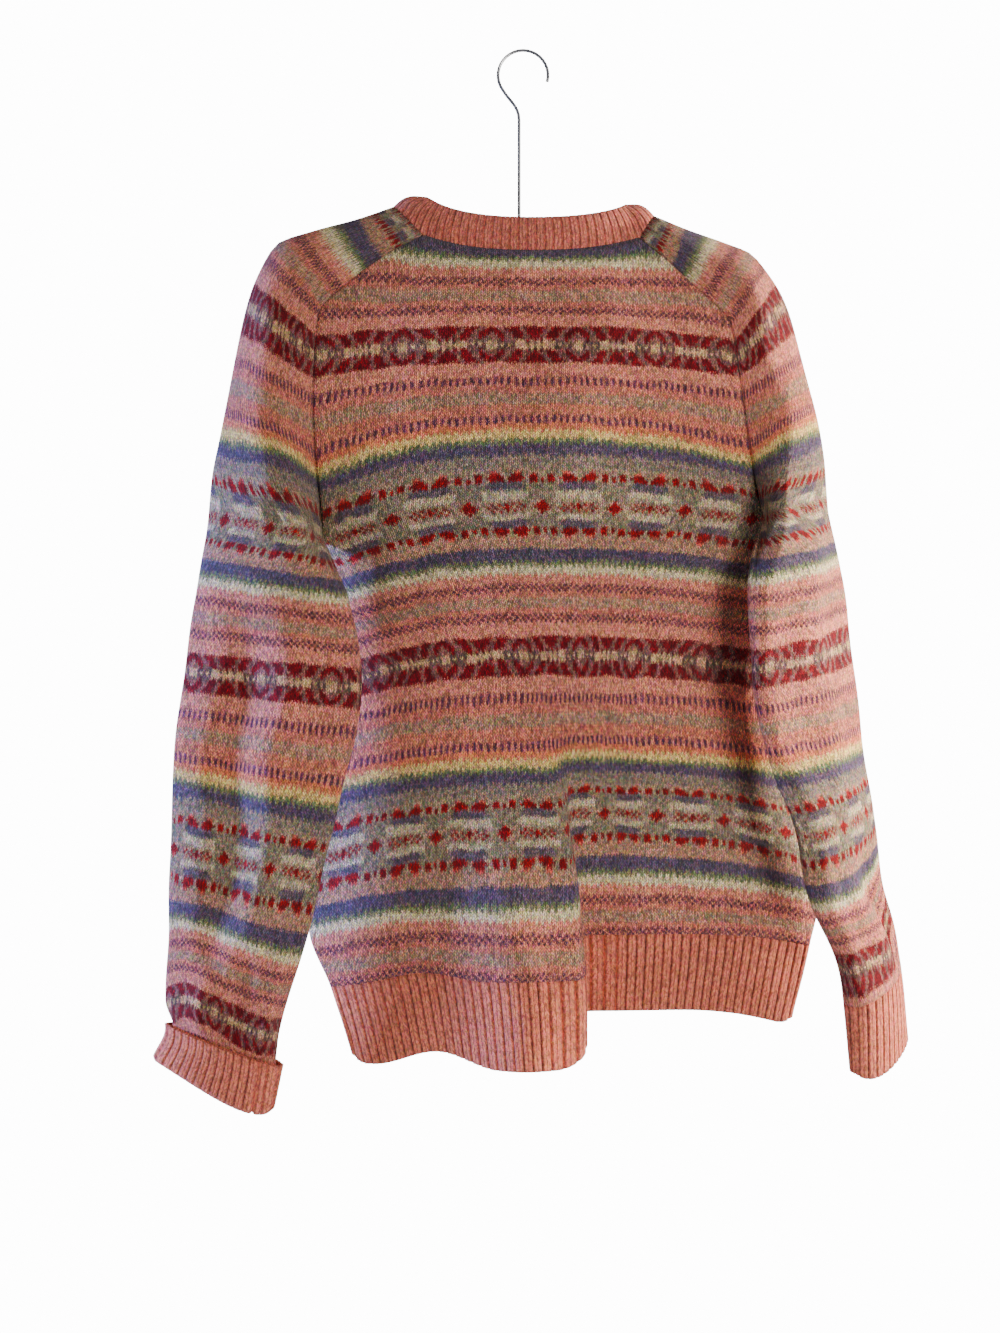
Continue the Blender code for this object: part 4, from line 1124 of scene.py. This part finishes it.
def knit_fuzz(count, longest, thickness, material):
    """Loose fibres that stand off the wool: slender bent spikes scattered over the pieces' faces."""
    chance = np.random.default_rng(7)
    spots, ways = fuzz_roots(chance, count)
    size = len(spots)
    lean = chance.normal(size=(size, 3)) * 0.75
    way = ways + lean
    way /= np.linalg.norm(way, axis=1, keepdims=True)
    way += ways * np.maximum(0.15 - (way * ways).sum(axis=1, keepdims=True), 0)
    length = longest * (0.25 + 0.75 * chance.random((size, 1)) ** 2)
    bend = np.cross(way, chance.normal(size=(size, 3)))
    bend /= np.linalg.norm(bend, axis=1, keepdims=True)
    across = np.cross(way, bend)
    root = spots + (chance.random((size, 3)) - 0.5) * 1.5 * MM - ways * 0.5 * MM
    middle = root + way * length * 0.5 + bend * length * 0.14
    tip = root + way * length * 0.95 - bend * length * 0.10
    ring = []
    for base, width in ((root, thickness), (middle, thickness * 0.8)):
        for k in range(3):
            angle = 2 * math.pi * k / 3
            ring.append(base + (bend * math.cos(angle) + across * math.sin(angle)) * width / 2)
    points = np.stack(ring + [tip], axis=1).reshape(-1, 3)
    pattern = [(0, 2, 1)]
    for k in range(3):
        after = (k + 1) % 3
        pattern += [(k, after, after + 3), (k, after + 3, k + 3), (k + 3, after + 3, 6)]
    faces = (np.arange(size)[:, None, None] * 7 + np.array(pattern)[None]).reshape(-1, 3)
    data = bpy.data.meshes.new("wool_fuzz")
    data.from_pydata(points.tolist(), [], faces.tolist())
    data.materials.append(material)
    fuzz = bpy.data.objects.new("wool_fuzz", data)
    bpy.context.scene.collection.objects.link(fuzz)
    return fuzz


def fuzz_material():
    """Pale heathered fibres in two fixed tones, mixed by a noise."""
    material = bpy.data.materials.new("wool_fibre")
    material.use_nodes = True
    graph = Graph(material.node_tree)
    shader = material.node_tree.nodes["Principled BSDF"]
    place = graph.node("ShaderNodeTexCoord").outputs["Object"]
    tint = graph.noise(place, 260.0, 1.0, 0.5).outputs["Fac"]
    colour = graph.mix(graph.smooth(tint, 0.4, 0.6), linear((176, 112, 96)), linear((214, 172, 148)))
    graph.feed(shader.inputs["Base Color"], colour)
    shader.inputs["Roughness"].default_value = 0.9
    shader.inputs["Specular IOR Level"].default_value = 0.1
    return material


# ---------------------------------------------------------------- settings

class KnitSettings(bpy.types.PropertyGroup):
    row_step: bpy.props.FloatProperty(
        name="Row step", description="Rows of the forms' tables from one ring of the mesh to the next",
        default=2.0, min=1.0, max=6.0)
    panel_faces: bpy.props.IntProperty(
        name="Panel faces", description="Faces across the back", default=132, min=24, max=200)
    sleeve_faces: bpy.props.IntProperty(
        name="Sleeve faces", description="Faces round a sleeve", default=104, min=14, max=160)
    hem_ribs: bpy.props.IntProperty(
        name="Hem ribs", description="Ribs across each half of the hem", default=53, min=10, max=80)
    neck_ribs: bpy.props.IntProperty(
        name="Neck ribs", description="Ribs round the neckband", default=84, min=20, max=100)
    cuff_ribs: bpy.props.IntProperty(
        name="Cuff ribs", description="Ribs round the turned cuff", default=30, min=10, max=50)
    coral: bpy.props.FloatVectorProperty(
        name="Coral", description="Yarn of the ribs, from 0 to 255 a channel", default=(220, 124, 100),
        size=3, min=0.0, max=255.0)
    # Painted shade: the darker coral that the ribs' grooves are coloured with, where they fall in shadow.
    coral_groove_shade: bpy.props.FloatVectorProperty(
        name="Deep coral", description="The ribs' grooves, from 0 to 255 a channel", default=(158, 66, 48),
        size=3, min=0.0, max=255.0)
    neck_coral: bpy.props.FloatVectorProperty(
        name="Neck coral", description="Yarn of the neckband, from 0 to 255 a channel",
        default=(206, 116, 100), size=3, min=0.0, max=255.0)


class FuzzSettings(bpy.types.PropertyGroup):
    count: bpy.props.IntProperty(
        name="Fibres", description="Loose fibres over the whole jumper", default=11000, min=100, max=18000)
    length: bpy.props.FloatProperty(
        name="Longest", description="Length of the longest fibres", default=5 * MM, unit="LENGTH", min=1 * MM,
        max=8 * MM)
    thickness: bpy.props.FloatProperty(
        name="Thickness", description="Thickness of a fibre at its root", default=0.09 * MM, unit="LENGTH",
        min=0.02 * MM, max=0.3 * MM)


class StageSettings(bpy.types.PropertyGroup):
    floor_z: bpy.props.FloatProperty(
        name="Floor height", description="Height of the floor under the jumper", default=-1.25, unit="LENGTH")
    floor_radius: bpy.props.FloatProperty(
        name="Floor radius", description="Radius of the round floor", default=0.85, unit="LENGTH", min=0.4)
    key_power: bpy.props.FloatProperty(
        name="Key light", description="Power of the warm light from the right", default=18.4, unit="POWER",
        min=0.0)
    window_power: bpy.props.FloatProperty(
        name="Window light", description="Power of the warm light along the cloth from the right",
        default=60.0, unit="POWER", min=0.0)
    fill_power: bpy.props.FloatProperty(
        name="Fill light", description="Power of the cool light from the left", default=58.0, unit="POWER",
        min=0.0)
    ambient: bpy.props.FloatProperty(
        name="Ambient", description="Strength of the even light all round", default=0.27, min=0.0)


# ---------------------------------------------------------------- operators


def declare(piece, nodes):
    """Rides the piece on the one body, in the place of its CAD nodes, which it hides."""
    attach(piece, "root")
    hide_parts(*nodes)


def softened_groove_shade(knit):
    """The painted groove shade of the smaller ribs, halfway to their yarn."""
    return tuple((yarn + groove) / 2 for yarn, groove in zip(knit.neck_coral, knit.coral_groove_shade))


class JUMPER_OT_knit_body(bpy.types.Operator):
    """Knit the back and the front down to the hem ribs"""
    bl_idname = "jumper.knit_body"
    bl_label = "Knit body"

    def execute(self, context):
        knit = context.scene.jumper_knit
        back = knit_panel("knit_back", False, knit.row_step, knit.panel_faces, knit_material())
        front = knit_panel("knit_front", True, knit.row_step * FRONT_COARSER,
                           int(knit.panel_faces * FRONT_FEWER), knit_material())
        declare(back, ["back"])
        declare(front, ["front"])
        return {"FINISHED"}


class JUMPER_OT_knit_sleeves(bpy.types.Operator):
    """Knit both sleeves, from the saddle on the shoulder to the cuff"""
    bl_idname = "jumper.knit_sleeves"
    bl_label = "Knit sleeves"

    def execute(self, context):
        knit = context.scene.jumper_knit
        for side in ("left", "right"):
            sleeve = knit_sleeve(side, knit.row_step, knit.sleeve_faces, knit_material())
            declare(sleeve, [f"sleeve_{side}"])
        return {"FINISHED"}


class JUMPER_OT_knit_hem(bpy.types.Operator):
    """Rib the two halves of the hem"""
    bl_idname = "jumper.knit_hem"
    bl_label = "Rib hem"

    def execute(self, context):
        knit = context.scene.jumper_knit
        wool = rib_material("hem_rib", tuple(knit.coral), tuple(knit.coral_groove_shade))
        back = knit_hem("knit_hem_back", False, knit.hem_ribs, 18, wool)
        front = knit_hem("knit_hem_front", True, knit.hem_ribs, 14, wool)
        declare(back, ["hem_rib_back"])
        declare(front, ["hem_rib_front"])
        return {"FINISHED"}


class JUMPER_OT_knit_neckband(bpy.types.Operator):
    """Rib the neckband"""
    bl_idname = "jumper.knit_neckband"
    bl_label = "Rib neckband"

    def execute(self, context):
        knit = context.scene.jumper_knit
        wool = rib_material("neck_rib", tuple(knit.neck_coral), softened_groove_shade(knit))
        band = knit_neckband(knit.neck_ribs, wool)
        declare(band, ["neckband"])
        return {"FINISHED"}


class JUMPER_OT_knit_cuffs(bpy.types.Operator):
    """Rib the turned left cuff and the plain right one"""
    bl_idname = "jumper.knit_cuffs"
    bl_label = "Rib cuffs"

    def execute(self, context):
        knit = context.scene.jumper_knit
        wool = rib_material("cuff_rib", tuple(knit.coral), softened_groove_shade(knit))
        left = knit_turned_cuff(knit.cuff_ribs, wool)
        right = knit_right_cuff(knit.cuff_ribs - RIGHT_CUFF_FEWER_RIBS, wool)
        declare(left, ["cuff_left"])
        declare(right, ["cuff_right"])
        return {"FINISHED"}


class JUMPER_OT_raise_fuzz(bpy.types.Operator):
    """Raise loose fibres from the wool"""
    bl_idname = "jumper.raise_fuzz"
    bl_label = "Raise fuzz"

    def execute(self, context):
        settings = context.scene.jumper_fuzz
        fuzz = knit_fuzz(settings.count, settings.length, settings.thickness, fuzz_material())
        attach(fuzz, "root")
        return {"FINISHED"}


class JUMPER_OT_finish_hanger(bpy.types.Operator):
    """Give the hanger and its wire hook their finishes"""
    bl_idname = "jumper.finish_hanger"
    bl_label = "Finish hanger"

    def execute(self, context):
        finishes = (("hanger", smooth_material("painted_bar", (226, 222, 214), 0.5, 0.0, 900.0, 0.2)),
                    ("hanger_hook", smooth_material("drawn_wire", (176, 178, 182), 0.3, 1.0, 1500.0, 0.15)))
        for name, material in finishes:
            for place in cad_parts[name].material_slots:
                place.material = material
        return {"FINISHED"}


class JUMPER_OT_set_stage(bpy.types.Operator):
    """Set the floor, the lights and the camera"""
    bl_idname = "jumper.set_stage"
    bl_label = "Set stage"

    def execute(self, context):
        settings = context.scene.jumper_stage
        set_floor(settings.floor_z, settings.floor_radius)
        set_world(settings.ambient)
        for name, place, size, colour in LIGHTS:
            add_light(name, place, size, getattr(settings, f"{name}_power"), colour)
        set_camera()
        return {"FINISHED"}


def set_floor(z, radius):
    bpy.ops.object.select_all(action="DESELECT")
    bpy.ops.mesh.primitive_cylinder_add(vertices=96, radius=radius, depth=0.02, location=(0, 0, z - 0.01))
    floor = bpy.context.object
    floor.name = "floor"
    bpy.ops.object.mode_set(mode="EDIT")
    bpy.ops.mesh.select_all(action="SELECT")
    bpy.ops.mesh.bevel(offset=0.004, segments=2)
    bpy.ops.object.mode_set(mode="OBJECT")
    bpy.ops.object.transform_apply(location=True, rotation=True, scale=True)
    floor.select_set(False)
    floor.data.materials.append(smooth_material("pale_floor", (226, 224, 220), 0.7, 0.0, 60.0, 0.1))


def set_world(ambient):
    """White to the camera, and a weaker even light on the jumper."""
    world = bpy.data.worlds.new("studio")
    bpy.context.scene.world = world
    world.use_nodes = True
    graph = Graph(world.node_tree)
    world.node_tree.nodes.clear()
    choose = graph.node("ShaderNodeMixShader")
    graph.feed(choose.inputs[0], graph.node("ShaderNodeLightPath").outputs["Is Camera Ray"])
    for socket, colour, strength in ((1, EVEN_WHITE, ambient), (2, WHITE, WHITE_STRENGTH)):
        glow = graph.node("ShaderNodeBackground")
        glow.inputs[0].default_value = colour
        glow.inputs[1].default_value = strength
        graph.feed(choose.inputs[socket], glow.outputs[0])
    graph.feed(graph.node("ShaderNodeOutputWorld").inputs[0], choose.outputs[0])


def add_light(name, place, size, power, colour):
    data = bpy.data.lights.new(name, "AREA")
    data.size, data.energy, data.color = size, power, colour
    light = bpy.data.objects.new(name, data)
    light.location = place
    way = np.array(AIM) - np.array(place)
    light.rotation_euler = (math.acos(-way[2] / np.linalg.norm(way)), 0.0, math.atan2(-way[0], way[1]))
    bpy.context.scene.collection.objects.link(light)


def set_camera():
    data = bpy.data.cameras.new("camera")
    data.lens, data.sensor_width = CAMERA_LENS, SENSOR
    camera = bpy.data.objects.new("camera", data)
    camera.location = CAMERA_PLACE
    camera.rotation_euler = (math.pi / 2, 0.0, 0.0)
    bpy.context.scene.collection.objects.link(camera)
    bpy.context.scene.camera = camera


class JUMPER_PT_panel(bpy.types.Panel):
    """Lists the pieces of the jumper and their settings"""
    bl_idname = "JUMPER_PT_panel"
    bl_label = "Fair isle jumper"
    bl_space_type = "VIEW_3D"
    bl_region_type = "UI"
    bl_category = "Jumper"

    def draw(self, context):
        for settings in (context.scene.jumper_knit, context.scene.jumper_fuzz, context.scene.jumper_stage):
            box = self.layout.box()
            for name in settings.__annotations__:
                box.prop(settings, name)
        for operator in OPERATORS:
            self.layout.operator(operator.bl_idname)


OPERATORS = (JUMPER_OT_knit_body, JUMPER_OT_knit_sleeves, JUMPER_OT_knit_hem, JUMPER_OT_knit_neckband,
             JUMPER_OT_knit_cuffs, JUMPER_OT_raise_fuzz, JUMPER_OT_finish_hanger, JUMPER_OT_set_stage)
CLASSES = (KnitSettings, FuzzSettings, StageSettings, *OPERATORS, JUMPER_PT_panel)


def register():
    for made in CLASSES:
        bpy.utils.register_class(made)
    bpy.types.Scene.jumper_knit = bpy.props.PointerProperty(type=KnitSettings)
    bpy.types.Scene.jumper_fuzz = bpy.props.PointerProperty(type=FuzzSettings)
    bpy.types.Scene.jumper_stage = bpy.props.PointerProperty(type=StageSettings)


def unregister():
    del bpy.types.Scene.jumper_stage
    del bpy.types.Scene.jumper_fuzz
    del bpy.types.Scene.jumper_knit
    for made in reversed(CLASSES):
        bpy.utils.unregister_class(made)


def main():
    register()
    bpy.ops.jumper.knit_body()
    bpy.ops.jumper.knit_sleeves()
    bpy.ops.jumper.knit_hem()
    bpy.ops.jumper.knit_neckband()
    bpy.ops.jumper.knit_cuffs()
    bpy.ops.jumper.raise_fuzz()
    bpy.ops.jumper.finish_hanger()
    bpy.ops.jumper.set_stage()


if __name__ == "__main__":
    main()
